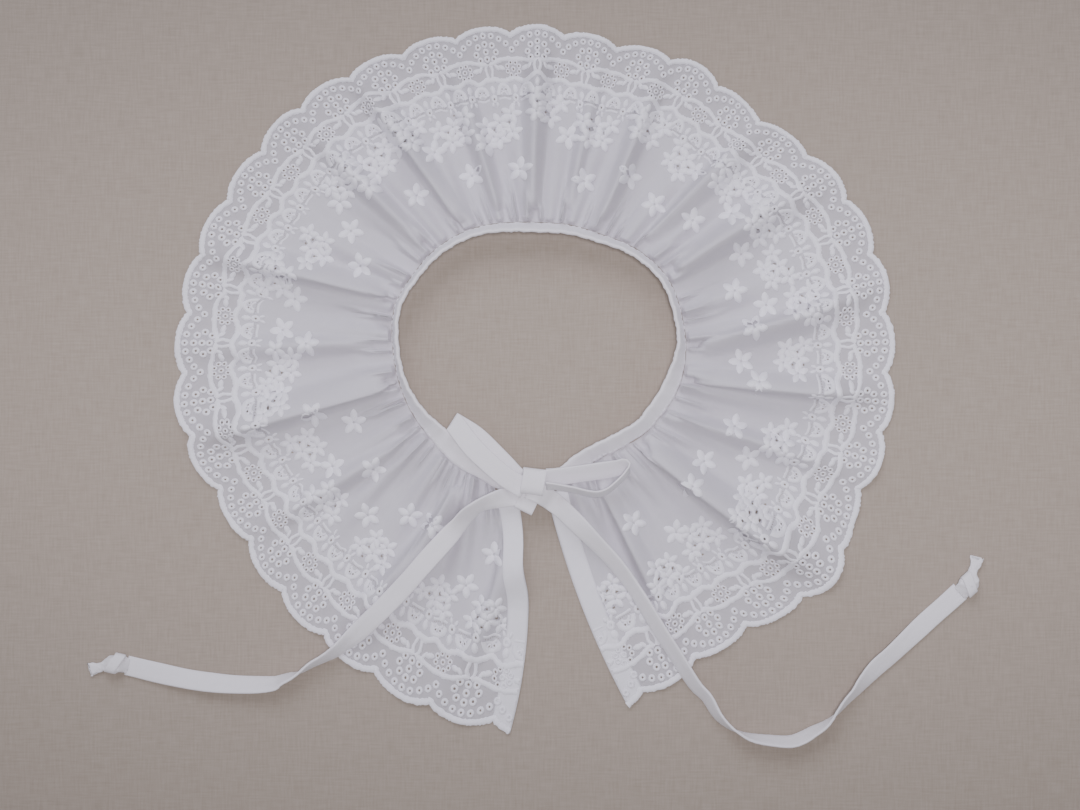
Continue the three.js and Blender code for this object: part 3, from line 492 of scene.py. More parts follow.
def embroidery():
    """The raised stitching of one repeat."""
    flat = Flat()
    for x, w, hole, outer in EYELETS:
        flat.ring(x, w, hole, outer, 0.5)
    for sign in (-1, 1):
        vine = [(1.2, 21.6), (3.2, 21.9), (5.4, 21.3), (7.6, 20.4), (10, 19.7), (12.6, 19.3), (15, 19.2),
                (HALF, 19.2)]
        flat.strip([(sign * x, w) for x, w in vine], 2.7, 0.62, flat_top=True)
        stem = [(0.6, 21), (1.7, 22.8), (2.4, 24.8), (2, 27), (1.3, 29.4)]
        flat.strip([(sign * x, w) for x, w in stem], 2.0, 0.56, flat_top=True)
        flat.petal(sign * 6, 24, 90 - sign * 78, 0, 5.8, 3.1, 0.6)
        flat.petal(sign * 4.4, 22.2, 90 - sign * 35, 0, 4.6, 2.4, 0.5)
        fan = sign * 8.6
        arc = [(fan + 4.5 * math.cos(a), 40.8 - 6.2 * math.sin(a))
               for a in np.linspace(0.06, math.pi - 0.06, 11)]
        flat.strip(arc, 2.7, 0.6, flat_top=True)
        arc = [(fan + 2.4 * math.cos(a), 40.6 - 2 * math.sin(a)) for a in np.linspace(0.1, math.pi - 0.1, 8)]
        flat.strip(arc, 1.2, 0.45)
        flat.strip([(fan - 4.8, 42.6), (fan, 42.4), (fan + 4.8, 42.6)], 1.2, 0.45)
    for x in (0, HALF):
        flat.petal(x, 33.4, 90, 0, 5.4, 3.8, 0.65)
        for dx in (-2.2, 2.2):
            flat.petal(x + dx * 0.5, 43.2, 90 - 24 * np.sign(dx), 0, 3.6, 2, 0.5)
    wave = np.linspace(-HALF, HALF, 29)
    waved = np.stack([wave, 31.4 - 1.1 * np.cos(4 * np.pi * wave / PITCH)], axis=1)
    flat.strip(waved, 3.2, 0.68, flat_top=True)
    return flat


def seen_from_above():
    """The flowers, and the middles of the slots between them, drawn as they are seen from above."""
    flat, slots = Flat(), []
    for k, (x, y) in enumerate(LONE_FLOWERS):
        flat.flower(x, y, 41 * k % 72)
    for k, (x, y) in enumerate(FLOWER_GROUPS):
        outward = math.atan2(y - NECK_CENTRE[1], x - NECK_CENTRE[0]) + 0.3 * math.sin(5 * k)
        ahead = np.array([math.cos(outward), math.sin(outward)])
        side = np.array([ahead[1], -ahead[0]]) * (1 if k % 2 else -1)
        deg = math.degrees(math.atan2(side[1], side[0]))
        for along, out, turn, size in GROUP:
            spot = np.array([x, y]) + side * along + ahead * out
            flat.flower(spot[0], spot[1], deg + turn * (1 if k % 2 else -1), size)
        slots += [np.array([x, y]) + side * along + ahead * out for along, out in GROUP_SLOTS]
    return flat, slots


def lay(points, uv, faces, copies):
    """Copies flat pieces along the cloth, one for each scallop."""
    all_points, all_uv, all_faces = [], [], []
    for k in copies:
        base = len(points) * len(all_points)
        all_points.append(points + [(k + 0.5) * PITCH, 0, 0])
        all_uv.append(uv)
        all_faces += [tuple(base + v for v in f) for f in faces]
    return np.concatenate(all_points), np.concatenate(all_uv), all_faces


def keep(inside, faces):
    """Which points are used, and the faces numbered by them, once faces with a point outside are left out."""
    faces = [f for f in faces if all(inside[v] for v in f)]
    used = np.zeros(len(inside), bool)
    for f in faces:
        used[list(f)] = True
    index = np.cumsum(used) - 1
    return used, [tuple(index[v] for v in f) for f in faces]


# The repeat of the pierced cloth runs between two lines that no eyelet crosses.
SEAM_LINE = 11.5
CELLS_ALONG = 14
ROWS_IN = [2.8, 5.6, 8.4, 11.2, 14, 16.8, 19.6, 22.4, 25.2, 28, 30.8, 33.6, 36.4, 39.2, 42, 44]
PLAIN_ROWS = [46, 49, 52, 55, 58, 61, 64, 67, 70, 73, 76, 79, 82, 85, 88, 90.5, 93, 95.5, 98, 100, 102, 104,
              106, 107.5, 109, 110.5, 112, 113.5, 115, 116.4]
SLOT_SHARE = (0.6, 0.3)  # a slot's part of its cell, along and in
CLOTH_EDGE = 0.9  # how far in from the scallops' line the cloth ends, under the border


def cut(bm, point, across, clear=False):
    """Cuts a flat mesh through a point; clear takes away what lies past the cut."""
    bmesh.ops.bisect_plane(bm, geom=bm.verts[:] + bm.edges[:] + bm.faces[:], dist=1e-5,
                           plane_co=point, plane_no=across, clear_outer=clear)


def pierced_repeat():
    """The flat cloth of one repeat's lace, pierced, as a bmesh in mm."""
    bm = bmesh.new()
    low, high = SEAM_LINE - PITCH, SEAM_LINE
    edge_low, edge_high = [float(edge_in(x)) + CLOTH_EDGE for x in (low, high)]
    outline = [(x, float(edge_in(x)) + CLOTH_EDGE) for x in np.linspace(low, high, 29)]
    outline += [(high, w) for w in np.linspace(edge_high, LACE_IN, 12)[1:-1]]
    outline += [(x, LACE_IN) for x in np.linspace(high, low, CELLS_ALONG + 1)]
    outline += [(low, w) for w in np.linspace(edge_low, LACE_IN, 12)[-2:0:-1]]
    loops = [outline]
    holes = [(x, w, hole, 8) for x, w, hole, _ in EYELETS] + [(x, w, hole, 4) for x, w, hole in PIN_HOLES]
    for x, w, radius, corners in holes:
        back = PITCH if x > high else 0
        loops.append([(x + math.cos(a) * radius - back, w + math.sin(a) * radius)
                      for a in np.linspace(0, 2 * math.pi, corners + 1)[:-1]])
    edges = []
    for loop in loops:
        verts = [bm.verts.new((x, w, 0)) for x, w in loop]
        edges += [bm.edges.new((verts[k], verts[(k + 1) % len(verts)])) for k in range(len(verts))]
    bmesh.ops.triangle_fill(bm, use_beauty=True, use_dissolve=False, edges=edges, normal=(0, 0, 1))
    for k in range(1, CELLS_ALONG):
        cut(bm, (low + PITCH * k / CELLS_ALONG, 0, 0), (1, 0, 0))
    for w in ROWS_IN:
        cut(bm, (0, w, 0), (0, 1, 0))
    return bm


def cell_under(spot, columns):
    """The cell (column, row) of the cloth's plain part that is seen at a spot from above."""
    away = ((SURFACE[..., :2] - spot - CENTRE) ** 2).sum(axis=-1)
    i, j = np.unravel_index(np.argmin(away), away.shape)
    u, w = i / STEPS_PER_SCALLOP * PITCH, (1 - j / STEPS_OUT) * FRILL_WIDTH
    return int(np.searchsorted(columns, u)) - 1, int(np.searchsorted(PLAIN_ROWS, w)) - 1


def cloth_mesh(slots):
    """Points (along, in) and faces of the whole flat cloth."""
    points, faces = [], []
    repeat = pierced_repeat()
    for k in range(SCALLOPS + 1):
        shift = (k + 0.5) * PITCH
        part = repeat
        if k in (0, SCALLOPS):
            part = repeat.copy()
            for x, sign in ((0, -1), (CLOTH_LENGTH, 1)):
                cut(part, (x - shift, 0, 0), (sign, 0, 0), clear=True)
        part.verts.index_update()
        base = len(points)
        points += [(v.co.x + shift, v.co.y) for v in part.verts]
        faces += [tuple(base + v.index for v in f.verts) for f in part.faces]
        if part is not repeat:
            part.free()
    columns = [SEAM_LINE - PITCH + (k + 0.5) * PITCH + PITCH * c / CELLS_ALONG
               for k in range(SCALLOPS + 1) for c in range(CELLS_ALONG)]
    columns = sorted({min(max(c, 0), CLOTH_LENGTH) for c in columns} | {0.0, CLOTH_LENGTH})
    columns = [c for i, c in enumerate(columns) if i == 0 or c - columns[i - 1] > 1e-4]
    base = len(points)
    wide = len(PLAIN_ROWS)
    points += [(c, w) for c in columns for w in PLAIN_ROWS]
    slotted = {cell_under(spot, columns) for spot in slots}
    for i in range(len(columns) - 1):
        for j in range(wide - 1):
            a, b = base + i * wide + j, base + (i + 1) * wide + j
            corners = (a, b, b + 1, a + 1)
            if (i, j) not in slotted:
                faces.append(corners)
                continue
            middle = np.mean([points[v] for v in corners], axis=0)
            first = len(points)
            points += [tuple(middle + (points[v] - middle) * SLOT_SHARE) for v in corners]
            for k in range(4):
                n = (k + 1) % 4
                faces.append((corners[k], corners[n], first + n, first + k))
    bm = bmesh.new()
    verts = [bm.verts.new((x, w, 0)) for x, w in points]
    for f in faces:
        bm.faces.new([verts[v] for v in f])
    bmesh.ops.remove_doubles(bm, verts=bm.verts[:], dist=2e-3)
    bmesh.ops.dissolve_degenerate(bm, dist=1e-4, edges=bm.edges[:])
    for f in bm.faces:
        if f.normal.z < 0:
            f.normal_flip()
    bm.verts.index_update()
    flat = np.array([v.co[:2] for v in bm.verts])
    found = [tuple(v.index for v in f.verts) for f in bm.faces]
    bm.free()
    repeat.free()
    return flat, found


# Tape for the band, the ties and the bow
def tape(middles, sides, width, wall, segments=2, pucker=0.0):
    """Points, faces and uv of a closed folded tape through middle points; sides point across it."""
    middles = np.asarray(middles, float)
    along = unit(np.gradient(middles, axis=0))
    up = unit(np.cross(along, np.asarray(sides, float)))
    across = np.cross(up, along)
    half, thick = width / 2, wall / 2
    top = [(half, thick * 0.1), (half - thick * 0.3, thick * 0.75), (half - thick, thick)]
    top += [(a, thick) for a in np.linspace(half - thick, -(half - thick), segments + 2)[1:-1]]
    top += [(-(half - thick), thick), (-(half - thick * 0.3), thick * 0.75), (-half, thick * 0.1)]
    outline = top + [(a, -b) for a, b in reversed(top)]
    run = run_along(middles)
    points, uv = [], []
    for i, (m, c, n) in enumerate(zip(middles, across, up)):
        ripple = pucker * math.sin(run[i] * 2.1 + 1.7 * math.sin(run[i] * 0.31))
        for a, b in outline:
            ruffle = ripple if abs(a) > half * 0.6 else 0
            points.append(m + c * a * (1 + 0.012 * math.sin(run[i] * 0.23)) + n * (b + ruffle * np.sign(b)))
            uv.append((run[i], a + (0 if b > 0 else 30)))
    return np.array(points), tube(len(middles), len(outline)), np.array(uv)


def smooth_line(points, count):
    """A centripetal Catmull-Rom curve through the points, at even steps."""
    p = np.asarray(points, float)
    p = np.concatenate([[2 * p[0] - p[1]], p, [2 * p[-1] - p[-2]]])
    fine = []
    for i in range(1, len(p) - 2):
        p0, p1, p2, p3 = p[i - 1:i + 3]
        t0 = 0.0
        t1 = t0 + np.linalg.norm(p1 - p0) ** 0.5
        t2 = t1 + np.linalg.norm(p2 - p1) ** 0.5
        t3 = t2 + np.linalg.norm(p3 - p2) ** 0.5
        for t in np.linspace(t1, t2, 24, endpoint=False):
            a1 = (t1 - t) / (t1 - t0) * p0 + (t - t0) / (t1 - t0) * p1
            a2 = (t2 - t) / (t2 - t1) * p1 + (t - t1) / (t2 - t1) * p2
            a3 = (t3 - t) / (t3 - t2) * p2 + (t - t2) / (t3 - t2) * p3
            b1 = (t2 - t) / (t2 - t0) * a1 + (t - t0) / (t2 - t0) * a2
            b2 = (t3 - t) / (t3 - t1) * a2 + (t - t1) / (t3 - t1) * a3
            fine.append((t2 - t) / (t2 - t1) * b1 + (t - t1) / (t2 - t1) * b2)
    fine = np.array(fine + [p[-2]])
    run = run_along(fine[:, :2])
    want = np.linspace(0, run[-1], count)
    return np.stack([np.interp(want, run, fine[:, k]) for k in range(p.shape[1])], axis=1)


def band_ring(deg):
    """The radius of the band's seam at an angle, and how far the band tips up there, in radians."""
    seen = read(BAND_SEEN, deg, 1)
    tilt = np.arccos(np.clip(seen / BAND_WIDTH, -1, 1))
    seam = read(SECTIONS, deg, NECK_R, NECK_DEG) - 0.35 - np.sin(tilt)
    return seam, tilt


def shift(points):
    return np.asarray(points, float) + np.array([CENTRE[0], CENTRE[1], 0])


# Materials
def srgb(code, alpha=1.0):
    """A linear colour from an sRGB hex code."""
    values = [int(code[i:i + 2], 16) / 255 for i in (0, 2, 4)]
    return [v / 12.92 if v <= 0.04045 else ((v + 0.055) / 1.055) ** 2.4 for v in values] + [alpha]


def new_material(name, surface):
    """A material with one shader, and the constants of its surface."""
    material = bpy.data.materials.new(name)
    material.use_nodes = True
    tree = material.node_tree
    tree.nodes.clear()
    out = tree.nodes.new("ShaderNodeOutputMaterial")
    shader = tree.nodes.new("ShaderNodeBsdfPrincipled")
    tree.links.new(shader.outputs["BSDF"], out.inputs["Surface"])
    for socket, value in surface.items():
        shader.inputs[socket].default_value = value
    return material, tree, shader


def add(tree, kind, sockets=None, **settings):
    """A node with its settings, and a value or a link for each of its named sockets."""
    node = tree.nodes.new(kind)
    for key, value in settings.items():
        setattr(node, key, value)
    for key, value in (sockets or {}).items():
        if isinstance(value, bpy.types.NodeSocket):
            tree.links.new(value, node.inputs[key])
        else:
            node.inputs[key].default_value = value
    return node


def flat_cloth(tree):
    return add(tree, "ShaderNodeUVMap", uv_map="UVMap").outputs["UV"]


def noise(tree, vector, scale, detail, **sockets):
    sockets = {"Vector": vector, "Scale": scale, "Detail": detail, **sockets}
    return add(tree, "ShaderNodeTexNoise", sockets).outputs["Fac"]


def stretched(tree, vector, scale):
    return add(tree, "ShaderNodeMapping", {"Vector": vector, "Scale": scale}).outputs[0]


def both(tree, first, second):
    return add(tree, "ShaderNodeMath", {0: first, 1: second}, operation="ADD").outputs[0]


def over(tree, fine, coarse, share):
    """A fine height over a coarse one that counts share times."""
    return add(tree, "ShaderNodeMath", {0: coarse, 1: share, 2: fine}, operation="MULTIPLY_ADD").outputs[0]


def tint(tree, shader, share, dark, light):
    """Gives the shader a colour between two hex colours."""
    mix = add(tree, "ShaderNodeMix", {0: share, 6: srgb(dark), 7: srgb(light)}, data_type="RGBA")
    tree.links.new(mix.outputs[2], shader.inputs["Base Color"])


def raise_threads(tree, shader, height, strength, distance):
    """Gives the shader a fine relief; distance is in metres."""
    bump = add(tree, "ShaderNodeBump", {"Height": height, "Strength": strength, "Distance": distance})
    tree.links.new(bump.outputs["Normal"], shader.inputs["Normal"])


def threads(tree, vector, pitch, direction):
    """Even threads, one every pitch mm along X or Y of the UV map."""
    scale = 1 / (pitch * UV_PER_MM) / (20 / (2 * math.pi))
    wave = add(tree, "ShaderNodeTexWave",
               {"Vector": vector, "Scale": scale, "Distortion": 0.6, "Detail": 1.0, "Detail Scale": 1.0},
               wave_type="BANDS", bands_direction=direction, wave_profile="SIN")
    return wave.outputs["Fac"]


def plain_weave(tree, uv, pitch):
    return both(tree, threads(tree, uv, pitch, "X"), threads(tree, uv, pitch, "Y"))


def batiste_material(name, cover):
    """Sheer cotton batiste: the table shows faintly through one layer, a fold of two looks whiter, and a fine
    uneven weave with soft creases keeps it from looking like plastic film."""
    material, tree, shader = new_material(name, {
        "Roughness": 0.88, "Alpha": cover, "Specular IOR Level": 0.2, "Sheen Weight": 0.25,
        "Sheen Roughness": 0.5})
    uv = flat_cloth(tree)
    tint(tree, shader, noise(tree, uv, 2.2, 5.0, Roughness=0.6), "e9e5f1", "f3eff8")
    creases = noise(tree, uv, 1.3, 4.0, Distortion=0.8)
    raise_threads(tree, shader, over(tree, plain_weave(tree, uv, 0.32), creases, 9.0), 0.35, 0.00008)
    return material


def satin_material():
    """Satin-stitch embroidery: dense glossy cotton thread, laid side by side across each line and petal, and
    whiter than the batiste under it."""
    material, tree, shader = new_material("satin_stitch_embroidery", {
        "Roughness": 0.6, "Specular IOR Level": 0.35, "Sheen Weight": 0.3, "Sheen Roughness": 0.4})
    uv = flat_cloth(tree)
    tufts = noise(tree, uv, 9.0, 3.0)
    tint(tree, shader, tufts, "f5f1fc", "fcf9ff")
    raise_threads(tree, shader, over(tree, threads(tree, uv, 0.4, "X"), tufts, 1.6), 0.5, 0.00012)
    return material


def cotton_material(name, dark, light, pitch, crease):
    """Plain-weave cotton, folded: opaque and matt, with its weave, faint slubs and pressed creases."""
    material, tree, shader = new_material(name, {
        "Roughness": 0.85, "Specular IOR Level": 0.25, "Sheen Weight": 0.2, "Sheen Roughness": 0.5})
    uv = flat_cloth(tree)
    tint(tree, shader, noise(tree, uv, 3.0, 6.0, Roughness=0.65), dark, light)
    creases = noise(tree, stretched(tree, uv, (0.5, 2.4, 1)), 1.1, 3.0, Distortion=0.5)
    raise_threads(tree, shader, over(tree, plain_weave(tree, uv, pitch), creases, crease), 0.4, 0.0001)
    return material


def thread_material():
    """Sewing thread: fine twisted cotton, a little brighter than the tape."""
    material, tree, shader = new_material("sewing_thread", {"Roughness": 0.6})
    twist = noise(tree, add(tree, "ShaderNodeTexCoord").outputs["Object"], 2500.0, 2.0)
    tint(tree, shader, twist, "edebf1", "fdfbff")
    raise_threads(tree, shader, twist, 0.4, 0.00005)
    return material


def table_material():
    """The cloth-covered table: plain linen, pale greyish beige, with slubs along both ways of its weave."""
    material, tree, shader = new_material("plain_table_linen", {"Roughness": 0.95, "Specular IOR Level": 0.1})
    place = add(tree, "ShaderNodeTexCoord").outputs["Object"]
    slubs = [noise(tree, stretched(tree, place, scale), 1.0, 2.0) for scale in ((90, 1100, 1), (1100, 90, 1))]
    weave = both(tree, *slubs)
    share = add(tree, "ShaderNodeMapRange", {"Value": weave, "From Min": 0.6, "From Max": 1.4}).outputs[0]
    tint(tree, shader, share, "9f9286", "aea196")
    raise_threads(tree, shader, weave, 0.3, 0.0002)
    return material


GATHERED_BATISTE = batiste_material("gathered_cotton_batiste", 0.7)
FLAT_BATISTE = batiste_material("flat_cotton_batiste", 0.54)
SATIN = satin_material()
HEM_CLOTH = cotton_material("double_batiste_hem", "ebe8f0", "f6f2f9", 0.32, 6.0)
TAPE_CLOTH = cotton_material("folded_cotton_tape", "ebe7ed", "f4eff5", 0.45, 7.0)
THREAD = thread_material()


# Camera and pieces
CAMERA_HEIGHT = 1.15
SEEN_WIDTH = 0.54  # metres of the table across the picture
SENSOR = 36


def make_camera():
    data = bpy.data.cameras.new("camera")
    data.sensor_width = SENSOR
    data.lens = SENSOR / SEEN_WIDTH * CAMERA_HEIGHT
    camera = show("camera", data)
    camera.location = (0.0027, -0.015, CAMERA_HEIGHT)
    bpy.context.scene.camera = camera


make_camera()

# how high the stitching lies over the cloth, and how much higher over a hem
EMBROIDERY_LIFT, BORDER_LIFT, FLOWER_LIFT, STEP_OVER_HEM = 0.03, 0.05, 0.1, 0.55
# the border's line: how far its middle lies in from the scallops' line, its size, and its steps in a scallop
BORDER_IN, BORDER_WIDTH, BORDER_HEIGHT, BORDER_STEPS = 1.45, 3.1, 0.6, 46
HEM_OVERLAP = 0.6  # how far a hem reaches in over the end of the cloth


def make_cloth(slots):
    flat, faces = cloth_mesh(slots)
    points, normals = on_cloth(flat[:, 0], flat[:, 1])
    cloth = make_piece("frill_cloth", points, faces, GATHERED_BATISTE, "lace_frill", flat, normals)
    cloth.data.materials.append(FLAT_BATISTE)
    outer = [int(max(flat[v, 1] for v in p.vertices) < WAVE_LINE + 0.01) for p in cloth.data.polygons]
    cloth.data.polygons.foreach_set("material_index", outer)
    return cloth


def stitched(name, points, uv, faces, lift):
    """Flat stitching laid on the cloth, and higher where it runs over a hem."""
    u = points[:, 0]
    over_hem = STEP_OVER_HEM * smoothstep(0, 2, np.maximum(-u, u - CLOTH_LENGTH))
    laid, _ = on_cloth(u, points[:, 1], points[:, 2] + lift + over_hem)
    return make_piece(name, laid, faces, SATIN, "lace_frill", uv)


def make_embroidery():
    points, uv, faces = lay(*embroidery().arrays(), range(-1, SCALLOPS + 1))
    u = points[:, 0]
    used, faces = keep((u > -HEM_WIDTH + 0.3) & (u < CLOTH_LENGTH + HEM_WIDTH - 0.3), faces)
    return stitched("frill_embroidery", points[used], uv[used], faces, EMBROIDERY_LIFT)


def make_border():
    """The satin-stitched scalloped edge, one line from hem corner to hem corner."""
    flat = Flat()
    u = np.arange(-HEM_WIDTH, CLOTH_LENGTH + HEM_WIDTH + 0.01, PITCH / BORDER_STEPS)
    line = np.stack([u, edge_along(u) + BORDER_IN], axis=1)
    flat.strip(line, BORDER_WIDTH, BORDER_HEIGHT, flat_top=True)
    return stitched("frill_scalloped_border", *flat.arrays(), BORDER_LIFT)


def make_flowers(flat, below):
    """The flowers, dropped straight down on the cloth; no face spans two folds or lies past the cloth."""
    points, uv, faces = flat.arrays()
    laid, inside = points.copy(), np.zeros(len(points), bool)
    for i, (x, y, lift) in enumerate(points):
        spot, normal = drop(below, x + CENTRE[0], y + CENTRE[1], 80)
        if spot is not None:
            inside[i] = True
            laid[i] = spot + (normal if normal.z > 0 else -normal) * (lift + FLOWER_LIFT)
    used, faces = keep(inside, [f for f in faces if np.ptp(laid[list(f), 2]) < 6])
    return make_piece("frill_flowers", laid[used], faces, SATIN, "lace_frill", uv[used])


def make_hem(name, outer, inner, node):
    """A double hem: a closed flat fold over the frill's end, thinning towards its inner edge."""
    across = np.linspace(min(outer, inner), max(outer, inner), 9)
    lengths = np.linspace(0, 1, 70)
    top_end = FRILL_WIDTH - 1.5
    layers = []
    for lift in (0.45, -0.2):
        rows = []
        for u in across:
            low = float(edge_along(u)) + 0.6
            w = low + (top_end - low) * lengths
            edge = min(1, 0.25 + abs(u - outer) / 1.5, 0.15 + abs(u - inner) / 4)
            points, _ = on_cloth(np.full_like(w, u), w, lift * edge + 0.05)
            rows.append(points)
        layers.append(np.array(rows))
    count, long = layers[0].shape[:2]
    points = np.concatenate([layer.reshape(-1, 3) for layer in layers])
    flat_uv = np.array([(u, w) for u in across for w in lengths * top_end])
    uv = np.concatenate([flat_uv, flat_uv + [30, 0]])
    faces = []
    size = count * long
    for i in range(count - 1):
        for j in range(long - 1):
            a, b = i * long + j, (i + 1) * long + j
            faces.append((a, b, b + 1, a + 1))
            faces.append((size + a + 1, size + b + 1, size + b, size + a))
        for j, turn in ((0, False), (long - 1, True)):
            a, b = i * long + j, (i + 1) * long + j
            face = (a, size + a, size + b, b)
            faces.append(face[::-1] if turn else face)
    for j in range(long - 1):
        for i, turn in ((0, True), (count - 1, False)):
            a, b = i * long + j, i * long + j + 1
            face = (a, size + a, size + b, b)
            faces.append(face[::-1] if turn else face)
    return make_piece(name, points, faces, HEM_CLOTH, node, uv)


STITCH_LENGTH, STITCH_GAP, THREAD_WIDTH = 2.2, 0.7, 0.32
# share of a stitch's length, share of the thread's width, lift: the bead that one stitch makes
BEAD = [(0, 0.35, -0.12), (0.2, 0.9, 0.06), (0.8, 0.9, 0.06), (1, 0.35, -0.12)]


def make_stitches(points, normals):
    """A row of machine stitches along points in mm, each a small raised bead of thread."""
    normals = np.asarray(normals, float)
    run = run_along(points)
    verts, faces = [], []

    def at(distance):
        spot, normal = [np.array([np.interp(distance, run, line[:, k]) for k in range(3)])
                        for line in (points, normals)]
        return spot, unit(normal)

    start = STITCH_GAP
    while start + STITCH_LENGTH < run[-1]:
        faces += tube(len(BEAD), 5, len(verts))
        for share, size, lift in BEAD:
            spot, normal = at(start + STITCH_LENGTH * share)
            ahead, _ = at(start + STITCH_LENGTH * share + 0.05)
            side = np.cross(normal, unit(ahead - spot))
            radius = THREAD_WIDTH / 2 * size
            for k in range(5):
                angle = 2 * math.pi * k / 5
                up, across = lift + math.sin(angle) * radius, math.cos(angle) * radius
                verts.append(spot + normal * up + side * across)
        start += STITCH_LENGTH + STITCH_GAP
    return make_piece("neck_band_stitches", verts, faces, THREAD, "neck_band")


def make_band():
    degs = np.linspace(BAND_SEEN[0, 0], BAND_SEEN[-1, 0], 300)
    seam, tilt = band_ring(degs)
    middles, sides, stitches, stitch_normals = [], [], [], []
    for deg, r, lean in zip(degs, seam, tilt):
        angle = math.radians(deg)
        radial = np.array([math.cos(angle), math.sin(angle), 0])
        inward = -radial * math.cos(lean) + np.array([0, 0, math.sin(lean)])
        face = radial * math.sin(lean) + np.array([0, 0, math.cos(lean)])
        lower = np.append(around(deg, r), BAND_HEIGHT)
        wobble = 0.18 * math.sin(deg * 0.9) + 0.12 * math.sin(deg * 2.3 + 1)
        middles.append(lower + inward * (BAND_WIDTH / 2 - 0.4) + face * wobble)
        sides.append(inward)
        stitches.append(lower + inward * 0.9 + face * (1.12 + wobble))
        stitch_normals.append(face)
    points, faces, uv = tape(shift(middles), sides, BAND_WIDTH + 0.8, 2.0, segments=4, pucker=0.12)
    band = make_piece("neck_band_cloth", points, faces, TAPE_CLOTH, "neck_band", uv)
    make_stitches(shift(stitches), stitch_normals)
    return band


def make_tie(name, route, node, below, tucked, bow_height):
    """A tie laid over whatever is below it, from under the bow's wrap, at bow_height, to its end."""
    line = smooth_line([(x + CENTRE[0], y + CENTRE[1], turn) for x, y, turn in tucked + route], 190)
    plan = line[:, :2]
    along = unit(np.gradient(plan, axis=0))
    turn = np.radians(line[:, 2])
    upright, level = np.abs(np.sin(turn)), np.abs(np.cos(turn))
    tops = np.zeros(len(plan))
    for i, (spot, ahead, wide) in enumerate(zip(plan, along, level)):
        for a in (-1, -0.5, 0, 0.5, 1):
            reach = TIE_WIDTH / 2 * wide * a
            hit, _ = drop(below, spot[0] - ahead[1] * reach, spot[1] + ahead[0] * reach, 60)
            if hit is not None:
                tops[i] = max(tops[i], hit.z)
    first = int(np.argmin(np.linalg.norm(plan - CENTRE - route[0][:2], axis=1)))
    tops[:first] = tops[first]
    raised = np.array([tops[max(0, i - 2):i + 3].max() for i in range(len(tops))])
    soft = np.convolve(np.pad(raised, 3, mode="edge"), np.ones(7) / 7, mode="valid")
    run = run_along(plan)
    height = np.maximum(soft, tops) + 0.25 + TIE_WIDTH / 2 * upright + TIE_WALL / 2 * level
    height = np.maximum(height, bow_height * (1 - smoothstep(5, 24, run)))
    middles = np.column_stack([plan, height])
    sides = np.column_stack([-along[:, 1] * np.cos(turn), along[:, 0] * np.cos(turn), np.sin(turn)])
    points, faces, uv = tape(middles, sides, TIE_WIDTH, TIE_WALL, segments=3, pucker=0.05)
    return make_piece(name, points, faces, TAPE_CLOTH, node, uv), middles


def turned(points, at, deg):
    angle = math.radians(deg)
    ca, sa = math.cos(angle), math.sin(angle)
    p = np.asarray(points, float)
    return np.column_stack([p[:, 0] * ca - p[:, 1] * sa, p[:, 0] * sa + p[:, 1] * ca, p[:, 2]]) + shift(at)


def make_left_loop():
    """Two layers that fan out towards the knot and meet in a fold at the far end."""
    radius = (1 + LAYER_GAP) / 2
    shares = np.linspace(LEFT_LOOP[0, 0], 1, 18)
    near_far = LOOP_NEAR + (LOOP_FAR - LOOP_NEAR) * shares
    upper = np.column_stack([read(LEFT_LOOP, shares, 1), read(LEFT_LOOP, shares, 2),
                             near_far + 2 * radius + LOOP_ARCH * np.sin(math.pi * np.clip(shares, 0, 1))])
    lower = np.column_stack([read(LEFT_LOOP, shares, 3), read(LEFT_LOOP, shares, 4), near_far])
    along = unit((lower[-1] - lower[-2]) * [1, 1, 0])
    up = np.array([0, 0, 1.0])
    fold = [lower[-1] + along * math.sin(a) * radius + up * (radius - math.cos(a) * radius)
            for a in np.linspace(0, math.pi, 9)[1:-1]]
    middles = np.concatenate([lower, fold, upper[::-1]])
    run = np.gradient(middles, axis=0) * [1, 1, 0]
    run[len(lower):len(lower) + len(fold)] = along
    run[len(lower) + len(fold):] *= -1
    sides = unit(np.column_stack([-run[:, 1], run[:, 0], np.zeros(len(run))]))
    points, faces, uv = tape(shift(middles), sides, TIE_WIDTH, 1.0, segments=3)
    make_piece("bow_loop_left_tape", points, faces, TAPE_CLOTH, "bow_loop_left", uv)


def make_right_loop():
    """The loop stands on its lower edge and leans back, steeper where it comes back to the knot."""
    line = smooth_line([(1, -50, 32)] + RIGHT_LOOP + [(4, -53.4, 66)], 90)
    turn = np.radians(line[:, 2])
    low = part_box("bow_loop_right")[0][2] / MM + 0.6
    middles = np.column_stack([line[:, 0], line[:, 1], low + TIE_WIDTH / 2 * np.sin(turn)])
    sides = unit(np.column_stack([0.1 * np.cos(turn), -np.cos(turn), -np.sin(turn)]))
    points, faces, uv = tape(shift(middles), sides, TIE_WIDTH, 1.0, segments=3)
    make_piece("bow_loop_right_tape", points, faces, TAPE_CLOTH, "bow_loop_right", uv)


def ring_of_tape(deep, high, width, wall):
    """Tape wound once round: an oval ring in the y-z plane, as wide along x as the tape."""
    middles = []
    for a in np.linspace(-math.pi / 2, 1.5 * math.pi, 41):
        ca, sa = math.cos(a), math.sin(a)
        middles.append((0.25 * math.sin(2 * a), deep * math.copysign(abs(ca) ** 0.75, ca),
                        high * math.copysign(abs(sa) ** 0.75, sa)))
    return tape(middles, [(1, 0, 0)] * len(middles), width, wall, segments=7)


